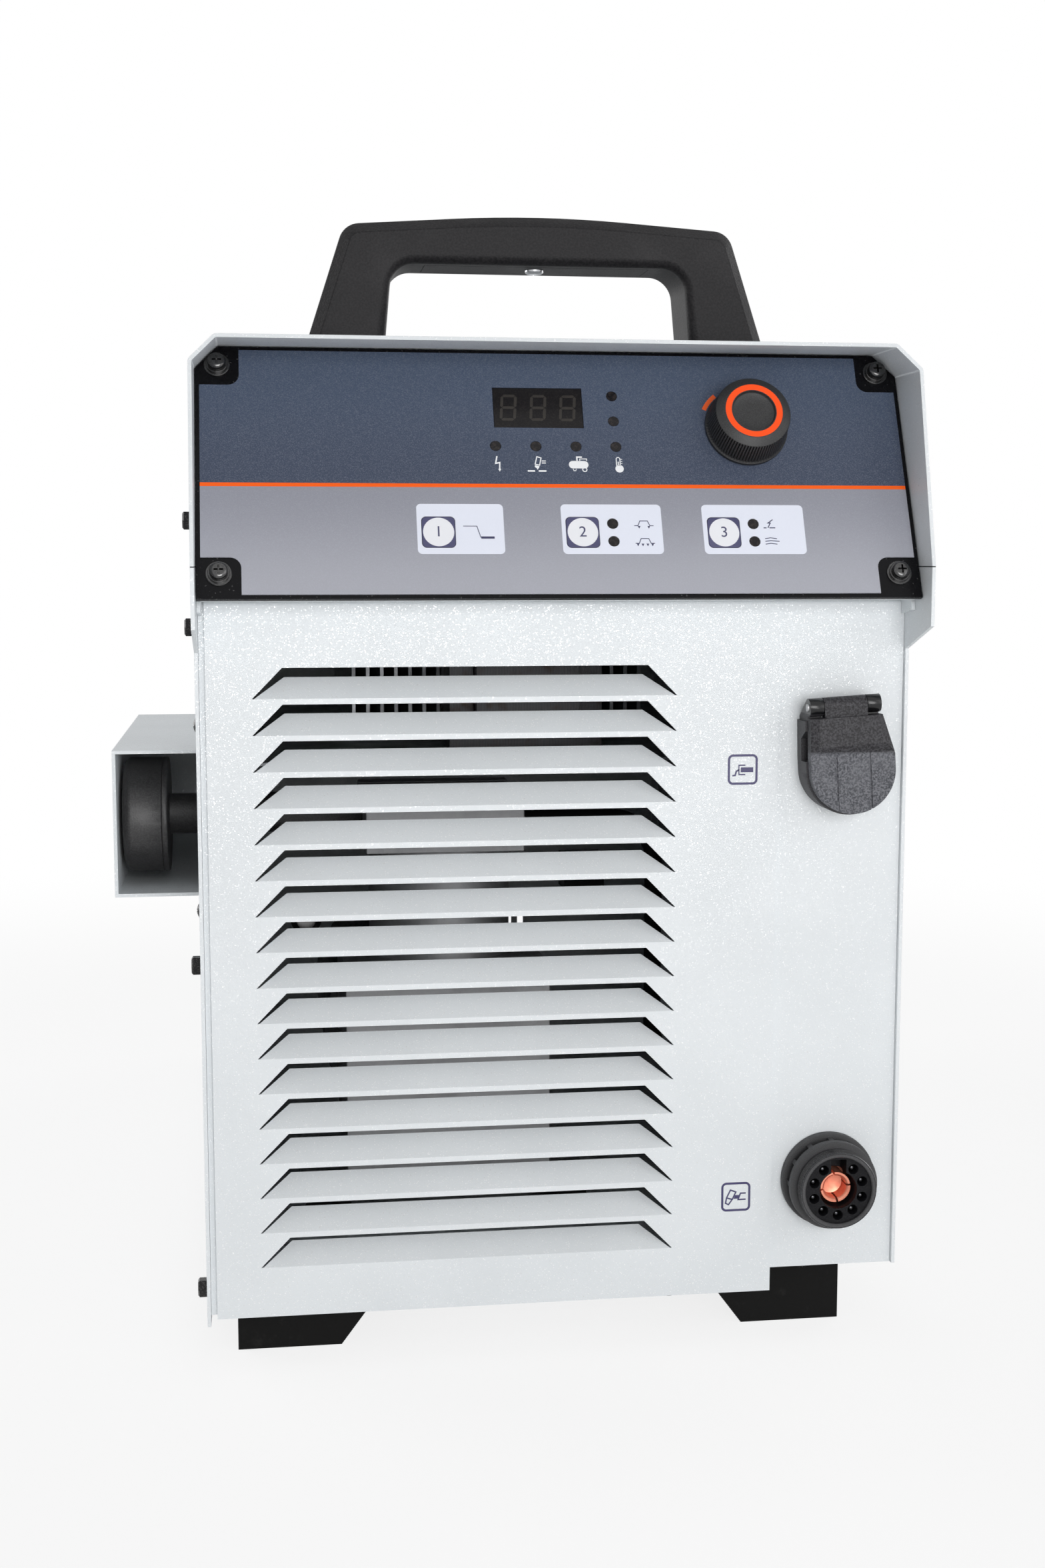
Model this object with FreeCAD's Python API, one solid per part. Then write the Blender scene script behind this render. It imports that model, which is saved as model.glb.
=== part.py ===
import FreeCAD, Part
import math
import os

# An air plasma cutting power source with a built-in compressor, in millimetres.
# X points right as seen from the front, Y points to the back and Z up. While it is being built, the middle
# of the case is X = 0, the front of the louvre panel is Y = 0 and the floor is Z = 0. The finished solids
# are moved so that the origin is on the floor, below the middle of the whole part.

# Case
CASE_WIDTH = 290.0
CASE_DEPTH = 520.0
CASE_HEIGHT = 382.6
SHEET = 1.5
SHEET_GAP = 0.1
COVER_CHAMFER = 10.0
COVER_BEND = 2.5
SEAM_DROP = 88.4
SEAM_GAP = 0.4
VISOR_REACH_AT_SEAM = 30.0
VISOR_REACH_AT_TOP = 7.0
VISOR_LIP_HEIGHT = 23.5
VISOR_LIP_SLANT = 10.0
SIDE_SKIRT = 13.8
REAR_RECESS = 15.0
FLANGE_DEPTH = 22.0
LAP_ABOVE_SEAM = 21.0
LAP_BELOW_SEAM = 12.0
PAN_FLANGE_HEIGHT = 24.0
PAN_FLANGE_GAP = 1.0
LAP_END_GAP = 3.0
SIDE_FRONT_LAP = 0.5

# Front
CONNECTOR_STRIP = 53.0
LOUVRE_PANEL_MARGIN = 4.0
LOUVRE_PANEL_SKIRT = 11.0
LOUVRE_PANEL_TOP_GAP = 1.0
CONNECTOR_SKIRT = 1.5
BOTTOM_FLANGE = 12.0
LOUVRE_PITCH = 14.53
LOUVRE_HEIGHT = 12.3
LOUVRE_TOP_WIDTH = 147.0
LOUVRE_END_RUN = 12.0
LOUVRE_LEFT_MARGIN = 18.0
LOUVRE_TOP_MARGIN = 19.6
LOUVRE_BOTTOM_MARGIN = 18.0
LOUVRE_TILT = 45.0
LOUVRE_CUT = 0.8
AIR_WINDOW_MARGIN = 4.0
SIDE_FLANGE_NOTCH = 9.0

# Control plate, in its own plane: across, up along the plate, and out of it
PLATE_TILT = 24.2
PLATE_THICKNESS = 2.0
PLATE_BELOW_SEAM = 12.2
PLATE_BEHIND_VISOR = 9.4
PLATE_GAP = 0.3
PLATE_STRIP = 17.0
LEDGE_DROP = 6.8
FRAME_FLANGE = 12.0
FRAME_LOWER_STRIP = 6.0
FRAME_UPPER_STRIP = 12.0
FRAME_LOW_END = 1.0
FRAME_HIGH_END = 3.0
PLATE_SCREW_INSET = 8.6
PLATE_SCREW_RISE = 10.5
PLATE_SCREW_DROP = 8.2
OVERLAY_THICKNESS = 0.5
OVERLAY_MARGIN = 1.7
OVERLAY_NOTCH = 15.5
OVERLAY_NOTCH_RADIUS = 4.5
DISPLAY_ACROSS = -7.4
DISPLAY_UP = 82.4
DISPLAY_WIDTH = 36.0
DISPLAY_HEIGHT = 17.6
DISPLAY_BODY_MARGIN = 5.0
DISPLAY_SINK = 0.15
LAMP_RADIUS = 2.1
STATUS_LAMP_UP = 65.3
STATUS_LAMP_FIRST = -25.4
STATUS_LAMP_PITCH = 16.2
STATUS_LAMP_COUNT = 4
UNIT_LAMP_ACROSS = 23.0
UNIT_LAMP_UP = 82.3
UNIT_LAMP_PITCH = 11.3
MODE_LAMP_OFFSET = 12.2
MODE_LAMP_PITCH = 7.6
KEY_SIZE = 13.0
KEY_RADIUS = 2.0
KEY_UP = 27.8
KEY_FIRST = -49.7
KEY_PITCH = 57.0
KEY_COUNT = 3
KEY_PROUD = 0.2
KEY_DEPTH = 1.8
KEY_STEM_RADIUS = 2.5
KEY_CLEARANCE = 0.15
KEY_TRAVEL = 0.5
KEY_STEM_GAP = 0.1
SWITCH_SIZE = 6.0
SWITCH_HEIGHT = 4.2
SWITCH_PLUNGER_RADIUS = 1.75
SWITCH_PLUNGER_HEIGHT = 0.6
KNOB_ACROSS = 77.3
KNOB_UP = 74.1
KNOB_BASE_RADIUS = 17.0
KNOB_RIM_RADIUS = 15.3
KNOB_HEIGHT = 14.5
KNOB_GAP = 0.5
KNOB_FLUTES = 40
KNOB_FLUTE_DEPTH = 0.6
KNOB_FLUTE_WIDTH = 1.2
KNOB_SKIRT = 2.4
KNOB_BAND = 1.4
KNOB_STEP = 0.5
KNOB_STEP_HEIGHT = 0.6
KNOB_BEVEL = 1.8
KNOB_LIP = 0.3
KNOB_RECESS_RADIUS = 7.5
KNOB_RECESS_DEPTH = 3.6
RING_OUTER_RADIUS = 11.65
RING_INNER_RADIUS = 9.15
RING_THICKNESS = 1.0
CAP_DISH = 0.6
ENCODER_SIZE = 13.0
ENCODER_HEIGHT = 7.0
ENCODER_BUSH_RADIUS = 3.5
ENCODER_NUT_ACROSS_FLATS = 10.4
ENCODER_NUT_HEIGHT = 2.0
ENCODER_SHAFT_RADIUS = 2.5
ENCODER_FLOOR = 1.0
ENCODER_SHAFT_IN_KNOB = 8.0
RUNNING_GAP = 0.05
BOARD_GAP = 10.9
BOARD_THICKNESS = 1.6
BOARD_WIDTH = 220.0
BOARD_BOTTOM = 12.0
BOARD_TOP = 96.0
STANDOFF_RADIUS = 3.0
STANDOFF_INSET = 7.0

# Carrying handle
HANDLE_SPAN = 199.0
HANDLE_SHOULDER = 164.0
HANDLE_HEIGHT = 58.7
HANDLE_CROWN = 5.5
HANDLE_CROWN_RADIUS = 550.0
HANDLE_DEPTH = 35.0
HANDLE_SETBACK = 58.0
HANDLE_OPENING = 131.2
HANDLE_OPENING_TOP = 124.4
HANDLE_OPENING_HEIGHT = 37.4
HANDLE_SHOULDER_RADIUS = 9.0
HANDLE_OPENING_RADIUS = 10.5
HANDLE_RIM_BEVEL = 4.4
HANDLE_EDGE_RADIUS = 4.0
HANDLE_WALL = 5.5
HANDLE_BOSS_RADIUS = 4.0
INSERT_LENGTH = 96.0
INSERT_WIDTH = 19.0
INSERT_THICKNESS = 2.5
INSERT_LEDGE = 3.0
INSERT_SCREW_SINK = 1.2
GRIP_SCREW_LENGTH = 7.0
HANDLE_SCREW_SPREAD = 17.0
HANDLE_SCREW_DEPTH = 16.0

# Feet
FOOT_HEIGHT = 30.8
FOOT_SETBACK = 15.0
FOOT_REAR_SETBACK = 30.0
FOOT_LENGTH = 50.0
FOOT_WIDTH = 43.0
FOOT_FLARE = 23.0
FOOT_INSET_LEFT = 12.0
FOOT_INSET_RIGHT = 20.0
FOOT_SCREW_SINK = 12.0
FOOT_SCREW_ROOM = 1.5
FOOT_SCREW_OVERHANG = 3.0

# Intake filter and its guard on the left side
INTAKE_Y = 103.0
INTAKE_Z = 214.7
GUARD_REACH = 38.0
GUARD_HEIGHT = 63.5
GUARD_FRONT = 70.0
GUARD_LENGTH = 190.0
GUARD_FLANGE = 15.5
GUARD_SCREW_INSET = 15.0
GUARD_SCREW_OUT = 9.25
FILTER_RADIUS = 25.5
FILTER_ROUNDING = 4.0
FILTER_THICKNESS = 19.5
FILTER_PLATE = 2.5
FILTER_WALL = 2.0
FILTER_END_GAP = 1.5
FILTER_SLOTS = 12
FILTER_SLOT_WIDTH = 3.0
FILTER_SLOT_START = 10.0
FILTER_SLOT_END = 20.0
INTAKE_PIPE_RADIUS = 9.0
INTAKE_PIPE_BORE = 6.0
PIPE_CLEARANCE = 0.3

# Torch socket
TORCH_OFFSET = -2.1
TORCH_Z = 67.8
TORCH_REAR_FLANGE_RADIUS = 20.0
TORCH_REAR_FLANGE = 3.5
TORCH_RIB_SPACE = 4.5
TORCH_CORE_RADIUS = 16.2
TORCH_RIB_RADIUS = 18.2
TORCH_RIBS = 12
TORCH_RIB_WIDTH = 2.0
TORCH_FRONT_FLANGE_RADIUS = 18.7
TORCH_FRONT_FLANGE = 3.5
TORCH_NOSE_RADIUS = 16.0
TORCH_NOSE_LENGTH = 7.0
TORCH_BARREL = 22.0
TORCH_INSERT_RADIUS = 14.2
TORCH_INSERT_BORE = 7.9
TORCH_INSERT_SINK = 1.2
TORCH_INSERT_BACK = 18.0
TORCH_PIN_RADIUS = 2.1
TORCH_PIN_CIRCLE = 10.7
TORCH_PIN_DEPTH = 12.0
TORCH_PIN_POSITIONS = 10
TORCH_KEY_WIDTH = 6.4
TORCH_KEY_DEPTH = 8.0
TORCH_KEY_RADIUS = 13.0
TORCH_CONTACT_OUTER = 6.4
TORCH_CONTACT_ROOT = 7.85
TORCH_CONTACT_BORE = 4.8
TORCH_CONTACT_LEAD_IN = 0.8
TORCH_CONTACT_SINK = 4.0
TORCH_CONTACT_BACK = 25.0
TORCH_CONTACT_SLOT = 0.8
TORCH_CONTACT_SLOT_DEPTH = 14.0
TORCH_CONTACT_SLOT_TURN = 8.0
TORCH_NUT_ACROSS_FLATS = 38.0
TORCH_NUT_THICKNESS = 5.0
SOCKET_CLEARANCE = 0.2

# Work socket with its sprung lid
WORK_OFFSET = 1.0
WORK_Z = 242.8
WORK_TURN = 3.7
WORK_RADIUS = 18.5
WORK_TOP = 21.0
WORK_DEPTH = 12.0
WORK_WINDOW_LOW = 4.5
WORK_WINDOW_HIGH = 13.5
WORK_WINDOW_RISE = 3.5
WORK_WINDOW_DEPTH = 5.0
WORK_WINDOW_FLOOR = 5.5
WORK_EAR_STEP = 1.1
WORK_BARREL_RADIUS = 13.0
WORK_BARREL = 22.0
WORK_MOUTH_RADIUS = 10.5
WORK_MOUTH_DEPTH = 8.0
WORK_CONTACT_OUTER = 6.5
WORK_CONTACT_BORE = 4.5
WORK_CONTACT_FRONT = 4.0
WORK_CONTACT_BACK = 28.0
LID_GAP = 0.3
LID_THICKNESS = 4.6
LID_RADIUS = 17.6
LID_TOP_WIDTH = 30.0
LID_TOP = 22.2
LID_SHOULDER = 6.0
LID_BLOCK = 2.0
LID_BLOCK_LOW = 7.0
LID_BLOCK_SLANT = 3.6
LID_BLOCK_BEVEL = 3.2
LID_CUT_MARGIN = 0.1
LID_TAB_DEPTH = 2.0
LID_TAB_SINK = 1.0
LID_GROOVE_SPACING = 14.0
LID_GROOVE_WIDTH = 0.8
LID_GROOVE_DEPTH = 0.6
HINGE_RISE = 26.6
HINGE_OUT = 1.0
HINGE_RADIUS = 3.7
HINGE_PIN_RADIUS = 1.5
HINGE_KNUCKLE = 17.8
HINGE_EAR = 5.7
HINGE_SHIFT = -2.0
EAR_ROOT = 2.0
EAR_FOOT = 1.4
EAR_SLOPE_RISE = 3.5
EAR_SLOPE_DROP = 1.5
EAR_LID_GAP = 1.0
HINGE_SIDE_GAP = 0.2
HINGE_PIN_PROUD = 0.6
SPRING_RADIUS = 2.3
SPRING_LENGTH = 7.6
SPRING_GAP = 0.3
SPRING_SLOT_HEIGHT = 3.0

# Fan, switch and cable gland at the rear
FAN_SIZE = 120.0
FAN_THICKNESS = 38.0
FAN_CORNER_RADIUS = 4.0
FAN_Z = 347.0
FAN_BORE_RADIUS = 57.5
FAN_SCREW_SPACING = 105.0
FAN_HUB_RADIUS = 19.5
FAN_BASE_THICKNESS = 5.0
FAN_BLADES = 7
FAN_BLADE_RADIUS = 56.3
FAN_BLADE_CHORD = 28.0
FAN_BLADE_THICKNESS = 1.8
FAN_BLADE_PITCH = 38.0
FAN_HUB_LENGTH = 27.0
FAN_SHAFT_RADIUS = 2.0
FAN_BEARING_FLOOR = 1.0
FAN_STRUT_WIDTH = 5.0
FAN_END_GAP = 0.5
WIRE_RADIUS = 1.1
GRILLE_RINGS = 5
GRILLE_RING_RISE = 1.5
GRILLE_HUB_RADIUS = 10.0
GRILLE_EYE_RADIUS = 5.0
GRILLE_EYE_THICKNESS = 2.6
SWITCH_INSET = 53.0
SWITCH_Z = 120.0
SWITCH_BEZEL_WIDTH = 32.0
SWITCH_BEZEL_HEIGHT = 27.0
SWITCH_BEZEL = 2.0
SWITCH_BEZEL_RADIUS = 1.5
SWITCH_BODY_WIDTH = 27.0
SWITCH_BODY_HEIGHT = 23.0
SWITCH_BODY_DEPTH = 24.0
ROCKER_RADIUS = 10.5
ROCKER_WIDTH = 18.0
ROCKER_SINK = 2.0
ROCKER_RISE = 3.0
ROCKER_DISH = 10.0
ROCKER_THROW = 20.0
ROCKER_GAP = 0.3
GLAND_INSET = 53.0
GLAND_Z = 90.0
GLAND_HEX_ACROSS_FLATS = 24.0
GLAND_HEX_HEIGHT = 5.0
GLAND_THREAD_RADIUS = 10.0
GLAND_THREAD_LENGTH = 10.0
GLAND_CAP_RADIUS = 11.5
GLAND_CAP_LENGTH = 16.0
GLAND_TAPER = 5.0
GLAND_TAPER_INSET = 3.0
GLAND_BORE = 6.5
VENT_SLOTS = 14
VENT_PITCH = 8.0
VENT_WIDTH = 4.0
VENT_RADIUS = 1.9
VENT_HEIGHT = 50.0
VENT_LOW = 50.0

# Shelf and electronics
SHELF_HEIGHT = 209.2
SHELF_SIDE_GAP = 3.9
SHELF_FRONT = 60.0
SHELF_REAR_GAP = 48.5
SHELF_FOOT = 12.0
SINK_WIDTH = 66.0
SINK_GAP = 16.0
SINK_LENGTH = 220.0
SINK_TO_FAN = 40.5
SINK_HEIGHT = 48.0
SINK_BASE = 8.0
SINK_FIN = 2.0
SINK_FINS = 10
MODULE_WIDTH = 34.0
MODULE_LENGTH = 42.0
MODULE_HEIGHT = 12.0
MODULE_SHARES = (0.25, 0.75)
CAPACITOR_RADIUS = 17.5
CAPACITOR_HEIGHT = 50.0
CORE_WIDTH = 70.0
CORE_DEPTH = 40.0
CORE_HEIGHT = 60.0
CORE_LEG = 11.0
CORE_FRONT = 100.0
COIL_BULGE = 8.0
COIL_GAP = 0.3

# Compressor and air line
MOTOR_X = -40.0
MOTOR_AXIS_RISE = 69.2
MOUNT_RADIUS = 10.0
MOUNT_HEIGHT = 14.7
MOUNT_OVERHANG = 8.0
MOUNT_INSET = 10.0
CRANKCASE_WIDTH = 90.0
CRANKCASE_LENGTH = 90.0
CRANKCASE_HEIGHT = 100.0
CRANKCASE_WALL = 6.0
CYLINDER_RADIUS = 32.0
CYLINDER_BORE = 24.0
HEAD_WIDTH = 70.0
HEAD_HEIGHT = 25.0
HEAD_ABOVE_PIPE = 1.0
HEAD_GROOVES = 7
HEAD_GROOVE_PITCH = 8.0
HEAD_GROOVE_WIDTH = 4.0
HEAD_GROOVE_DEPTH = 6.0
CRANKCASE_FOOT = 3.0
MOTOR_RADIUS = 52.0
MOTOR_WALL = 6.0
MOTOR_LENGTH = 120.0
ROTOR_RADIUS = 40.0
ROTOR_GAP = 12.0
SHAFT_RADIUS = 6.0
CRANK_THROW = 3.0
CRANK_RADIUS = 10.0
CRANK_LENGTH = 12.0
CRANK_CLEARANCE = 0.3
ROD_RING_WALL = 3.7
ROD_WIDTH = 8.0
PISTON_CLEARANCE = 0.3
PISTON_THICKNESS = 12.0
PISTON_TOP_DROP = 14.0
BLOWER_RADIUS = 45.0
BLOWER_HUB_RADIUS = 12.0
BLOWER_BLADE_ROOT = 9.0
BLOWER_BLADE = 2.0
BLOWER_BLADES = 8
BLOWER_THICKNESS = 16.0
BLOWER_GAP = 6.0
VALVE_WIDTH = 30.0
VALVE_CLEARANCE = 1.0
VALVE_HEIGHT = 72.0
VALVE_COIL_RADIUS = 13.0
VALVE_COIL_HEIGHT = 28.0
HOSE_RADIUS = 4.0
HOSE_BEND = 20.0
HOSE_TURN_X = 60.0
HOSE_INLET_RISE = 57.7
HOSE_OUTLET_DROP = 3.0
TORCH_HOSE_RADIUS = 7.2

# Fasteners: clearance round a shank, then head and shank sizes
SCREW_CLEARANCE = 0.2
M5_RADIUS = 2.5
M4_RADIUS = 2.0
M3_RADIUS = 1.5
HEX_ACROSS_FLATS = 7.0
HEX_HEIGHT = 4.0
PAN_RADIUS = 4.0
PAN_HEIGHT = 2.8
PAN_EDGE_DROP = 0.8
PAN_EDGE_INSET = 1.0
WASHER_RADIUS = 4.7
WASHER_HEIGHT = 1.2
DOME_RADIUS = 4.4
DOME_HEIGHT = 2.4
SIDE_SCREW_LENGTH = 7.0
PLATE_SCREW_LENGTH = 8.0
SIDE_SCREW_FROM_EDGE = 15.0
SIDE_SCREW_TOP_RISE = 18.0
SIDE_SCREW_LOW_DROP = 24.0
SIDE_SCREW_MIDDLE = 164.0
SIDE_SCREW_LOWEST_LEFT = 28.0
SIDE_SCREW_LOWEST_RIGHT = 35.0
SIDE_SCREW_LOWEST_REAR = 42.0
BOTTOM_SCREW_LEFT = -125.0
BOTTOM_SCREW_RIGHT = 48.0
CONNECTOR_SCREW_INSET = 15.1
BOTTOM_SCREW_Y = 6.5

# Places that follow from the sizes above
HALF = CASE_WIDTH / 2
INSIDE = HALF - SHEET
SHEET_EDGE = INSIDE - SHEET_GAP
PAN = FOOT_HEIGHT
FLOOR = PAN + SHEET
TOP = PAN + CASE_HEIGHT
SEAM = TOP - SEAM_DROP
FRONT_FACE = SHEET
FRONT_BACK = 2 * SHEET
REAR_FACE = CASE_DEPTH - REAR_RECESS
REAR_INNER = REAR_FACE - SHEET
GLAND_X = GLAND_INSET - HALF
SWITCH_X = HALF - SWITCH_INSET
PLATE_BOTTOM_Z = SEAM - PLATE_BELOW_SEAM
PLATE_BOTTOM_Y = PLATE_BEHIND_VISOR - VISOR_REACH_AT_SEAM
LOUVRE_LEFT = LOUVRE_PANEL_MARGIN - HALF
LOUVRE_RIGHT = SHEET_EDGE - CONNECTOR_STRIP
TORCH_X = LOUVRE_RIGHT + CONNECTOR_STRIP / 2 + TORCH_OFFSET
WORK_X = LOUVRE_RIGHT + CONNECTOR_STRIP / 2 + WORK_OFFSET
CONNECTOR_SCREW_X = LOUVRE_RIGHT + CONNECTOR_SCREW_INSET
LOUVRE_BOTTOM = PAN - LOUVRE_PANEL_SKIRT
SHELF = FLOOR + SHELF_HEIGHT
SHELF_HALF = SHEET_EDGE - SHEET - SHELF_SIDE_GAP
SHELF_REAR = REAR_INNER - SHELF_REAR_GAP
SINK_FRONT = REAR_INNER - FAN_THICKNESS - SINK_TO_FAN - SINK_LENGTH
BOTTOM_SCREW_XS = (BOTTOM_SCREW_LEFT, BOTTOM_SCREW_RIGHT)
BOARD_FACE = -(PLATE_THICKNESS + BOARD_GAP)
MOTOR_Z = FLOOR + MOTOR_AXIS_RISE
CRANK_FRONT = INTAKE_Y - CRANKCASE_LENGTH / 2
CRANK_REAR = INTAKE_Y + CRANKCASE_LENGTH / 2
CRANK_BOTTOM = FLOOR + MOUNT_HEIGHT + CRANKCASE_FOOT
CRANK_TOP = CRANK_BOTTOM + CRANKCASE_HEIGHT
HEAD_TOP = INTAKE_Z + INTAKE_PIPE_RADIUS + HEAD_ABOVE_PIPE
HEAD_BOTTOM = HEAD_TOP - HEAD_HEIGHT
BIG = 2000.0


def vec(x, y, z):
    return FreeCAD.Vector(x, y, z)


def frame(origin, across, up, out):
    """Placement whose local X, Y and Z run across, up and out of a face."""
    return FreeCAD.Placement(FreeCAD.Matrix(
        across.x, up.x, out.x, origin.x,
        across.y, up.y, out.y, origin.y,
        across.z, up.z, out.z, origin.z,
        0, 0, 0, 1))


RIGHT, BACK, UP = vec(1, 0, 0), vec(0, 1, 0), vec(0, 0, 1)
TILT = math.radians(PLATE_TILT)
PLATE_UP = vec(0, math.sin(TILT), math.cos(TILT))
PLATE_OUT = vec(0, -math.cos(TILT), math.sin(TILT))
PLATE_FRAME = frame(vec(0, PLATE_BOTTOM_Y, PLATE_BOTTOM_Z), RIGHT, PLATE_UP, PLATE_OUT)


def facing_front(x, z, y=FRONT_FACE):
    return frame(vec(x, y, z), RIGHT, UP, -BACK)


def facing_rear(x, z, y=REAR_FACE):
    return frame(vec(x, y, z), -RIGHT, UP, BACK)


def facing_left(y, z, x=-HALF):
    return frame(vec(x, y, z), -BACK, UP, -RIGHT)


def facing_right(y, z, x=HALF):
    return frame(vec(x, y, z), BACK, UP, RIGHT)


def facing_down(x, y, z):
    return frame(vec(x, y, z), RIGHT, -BACK, -UP)


def facing_up(x, y, z):
    return frame(vec(x, y, z), RIGHT, BACK, UP)


def on_plate(across, up, out=0.0):
    return PLATE_FRAME.multiply(FreeCAD.Placement(vec(across, up, out), FreeCAD.Rotation()))


def placed(shape, place):
    moved = shape.copy()
    moved.Placement = place.multiply(moved.Placement)
    return moved


def box(x0, x1, y0, y1, z0, z1):
    return Part.makeBox(x1 - x0, y1 - y0, z1 - z0, vec(x0, y0, z0))


def disc(radius, low, high, place=facing_up(0, 0, 0)):
    """Cylinder about the place's outward axis, from low to high."""
    return placed(Part.makeCylinder(radius, high - low, vec(0, 0, low)), place)


def tube(outer, inner, low, high, place=facing_up(0, 0, 0)):
    return disc(outer, low, high, place).cut(disc(inner, low - 1, high + 1, place))


def slab(width, height, low, high, place=facing_up(0, 0, 0)):
    """Box centred on the place's outward axis, from low to high."""
    return placed(box(-width / 2, width / 2, -height / 2, height / 2, low, high), place)


def extruded(points, point_at, run):
    face = Part.Face(Part.makePolygon([point_at(a, b) for a, b in points + points[:1]]))
    return face.extrude(run)


def prism_x(points, x0, x1):
    """Outline of (y, z) points extruded from x0 to x1."""
    return extruded(points, lambda y, z: vec(x0, y, z), vec(x1 - x0, 0, 0))


def prism_y(points, y0, y1):
    """Outline of (x, z) points extruded from y0 to y1."""
    return extruded(points, lambda x, z: vec(x, y0, z), vec(0, y1 - y0, 0))


def corner_stops(corner, before, after):
    """Tangent points and middle of the arc that rounds a corner, or the corner itself if it is sharp."""
    a, b, radius = corner
    if not radius:
        return [(a, b)]
    towards = []
    for other in (before, after):
        run = math.hypot(other[0] - a, other[1] - b)
        towards.append(((other[0] - a) / run, (other[1] - b) / run))
    (ax, ay), (bx, by) = towards
    half = math.acos(max(-1.0, min(1.0, ax * bx + ay * by))) / 2
    reach = radius / math.tan(half)
    middle_x, middle_y = ax + bx, ay + by
    length = math.hypot(middle_x, middle_y)
    to_arc = (radius / math.sin(half) - radius) / length
    return [(a + ax * reach, b + ay * reach),
            (a + middle_x * to_arc, b + middle_y * to_arc),
            (a + bx * reach, b + by * reach)]


def rounded_face(corners, point_at=lambda a, b: vec(a, b, 0)):
    """Face inside corners given as (a, b, radius), each with a tangent arc of its radius."""
    count = len(corners)
    stops = [corner_stops(corners[i], corners[i - 1], corners[(i + 1) % count]) for i in range(count)]
    edges = []
    for i, stop in enumerate(stops):
        if len(stop) == 3:
            edges.append(Part.Arc(*[point_at(a, b) for a, b in stop]).toShape())
        start, end = point_at(*stop[-1]), point_at(*stops[(i + 1) % count][0])
        if start.distanceToPoint(end) > 1e-6:
            edges.append(Part.LineSegment(start, end).toShape())
    return Part.Face(Part.Wire(edges))


def rounded_slab(width, height, radius, low, high, place=facing_up(0, 0, 0)):
    a, b = width / 2, height / 2
    face = rounded_face([(-a, -b, radius), (a, -b, radius), (a, b, radius), (-a, b, radius)],
                        lambda x, y: vec(x, y, low))
    return placed(face.extrude(vec(0, 0, high - low)), place)


def bent_sheet(path, thickness=SHEET):
    """Outline of a folded sheet: the path is one face of it, and the other lies to the path's right."""
    normals = []
    for (a0, b0), (a1, b1) in zip(path, path[1:]):
        run = math.hypot(a1 - a0, b1 - b0)
        normals.append(((b1 - b0) / run, (a0 - a1) / run))
    other = []
    for i, (a, b) in enumerate(path):
        ahead, behind = normals[min(i, len(normals) - 1)], normals[max(i - 1, 0)]
        share = 1 + ahead[0] * behind[0] + ahead[1] * behind[1]
        other.append((a + thickness * (ahead[0] + behind[0]) / share,
                      b + thickness * (ahead[1] + behind[1]) / share))
    return path + other[::-1]


def turned(profile, place=facing_up(0, 0, 0)):
    """Solid of revolution about the place's outward axis, from (radius, height) points."""
    face = Part.Face(Part.makePolygon([vec(r, 0, h) for r, h in profile + profile[:1]]))
    return placed(face.revolve(vec(0, 0, 0), UP, 360), place)


def hexagon(across_flats, low, high, place=facing_up(0, 0, 0)):
    radius = across_flats / math.sqrt(3)
    corners = [(radius * math.cos(math.radians(60 * k)), radius * math.sin(math.radians(60 * k)))
               for k in range(6)]
    return placed(extruded(corners, lambda x, y: vec(x, y, low), vec(0, 0, high - low)), place)


def joined(shapes):
    whole = shapes[0].multiFuse(shapes[1:]) if len(shapes) > 1 else shapes[0]
    return whole.removeSplitter()


def group(shapes):
    solids = [solid for shape in shapes for solid in shape.Solids]
    return Part.makeCompound(solids)


def mirrored(shape):
    """The same piece on the other side of the case."""
    return shape.mirror(vec(0, 0, 0), RIGHT)


def cut_all(shape, tools):
    return shape.cut(Part.makeCompound(tools))


def along_y(edge):
    first, last = edge.Vertexes[0].Point, edge.Vertexes[-1].Point
    run = last - first
    return abs(run.x) < 1e-6 and abs(run.z) < 1e-6 and abs(run.y) > 1e-6


# Screws

def hex_screw(place, length=SIDE_SCREW_LENGTH):
    return joined([hexagon(HEX_ACROSS_FLATS, 0, HEX_HEIGHT, place), disc(M5_RADIUS, -length, 0, place)])


def pan_screw(place, shank=M4_RADIUS, length=PLATE_SCREW_LENGTH):
    return joined([disc(PAN_RADIUS, 0, PAN_HEIGHT, place), disc(shank, -length, 0, place)])


def washer_screw(place):
    top = WASHER_HEIGHT + PAN_HEIGHT
    head = turned([(0, 0), (WASHER_RADIUS, 0), (WASHER_RADIUS, WASHER_HEIGHT), (PAN_RADIUS, WASHER_HEIGHT),
                   (PAN_RADIUS, top - PAN_EDGE_DROP), (PAN_RADIUS - PAN_EDGE_INSET, top), (0, top)], place)
    return joined([head, disc(M4_RADIUS, -PLATE_SCREW_LENGTH, 0, place)])


def dome_screw(place, shank=M4_RADIUS, length=SIDE_SCREW_LENGTH):
    sphere_radius = (DOME_RADIUS ** 2 + DOME_HEIGHT ** 2) / (2 * DOME_HEIGHT)
    ball = placed(Part.makeSphere(sphere_radius, vec(0, 0, DOME_HEIGHT - sphere_radius)), place)
    head = disc(DOME_RADIUS, 0, DOME_HEIGHT, place).common(ball)
    return joined([head, disc(shank, -length, 0, place)])


def side_screw_row(face, y, lowest):
    """A row of side screws: the top one in the upper cover, the rest in the side panel."""
    heights = (SEAM + SIDE_SCREW_TOP_RISE, SEAM - SIDE_SCREW_LOW_DROP, SIDE_SCREW_MIDDLE, lowest)
    return [face(y, z) for z in heights]


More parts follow.
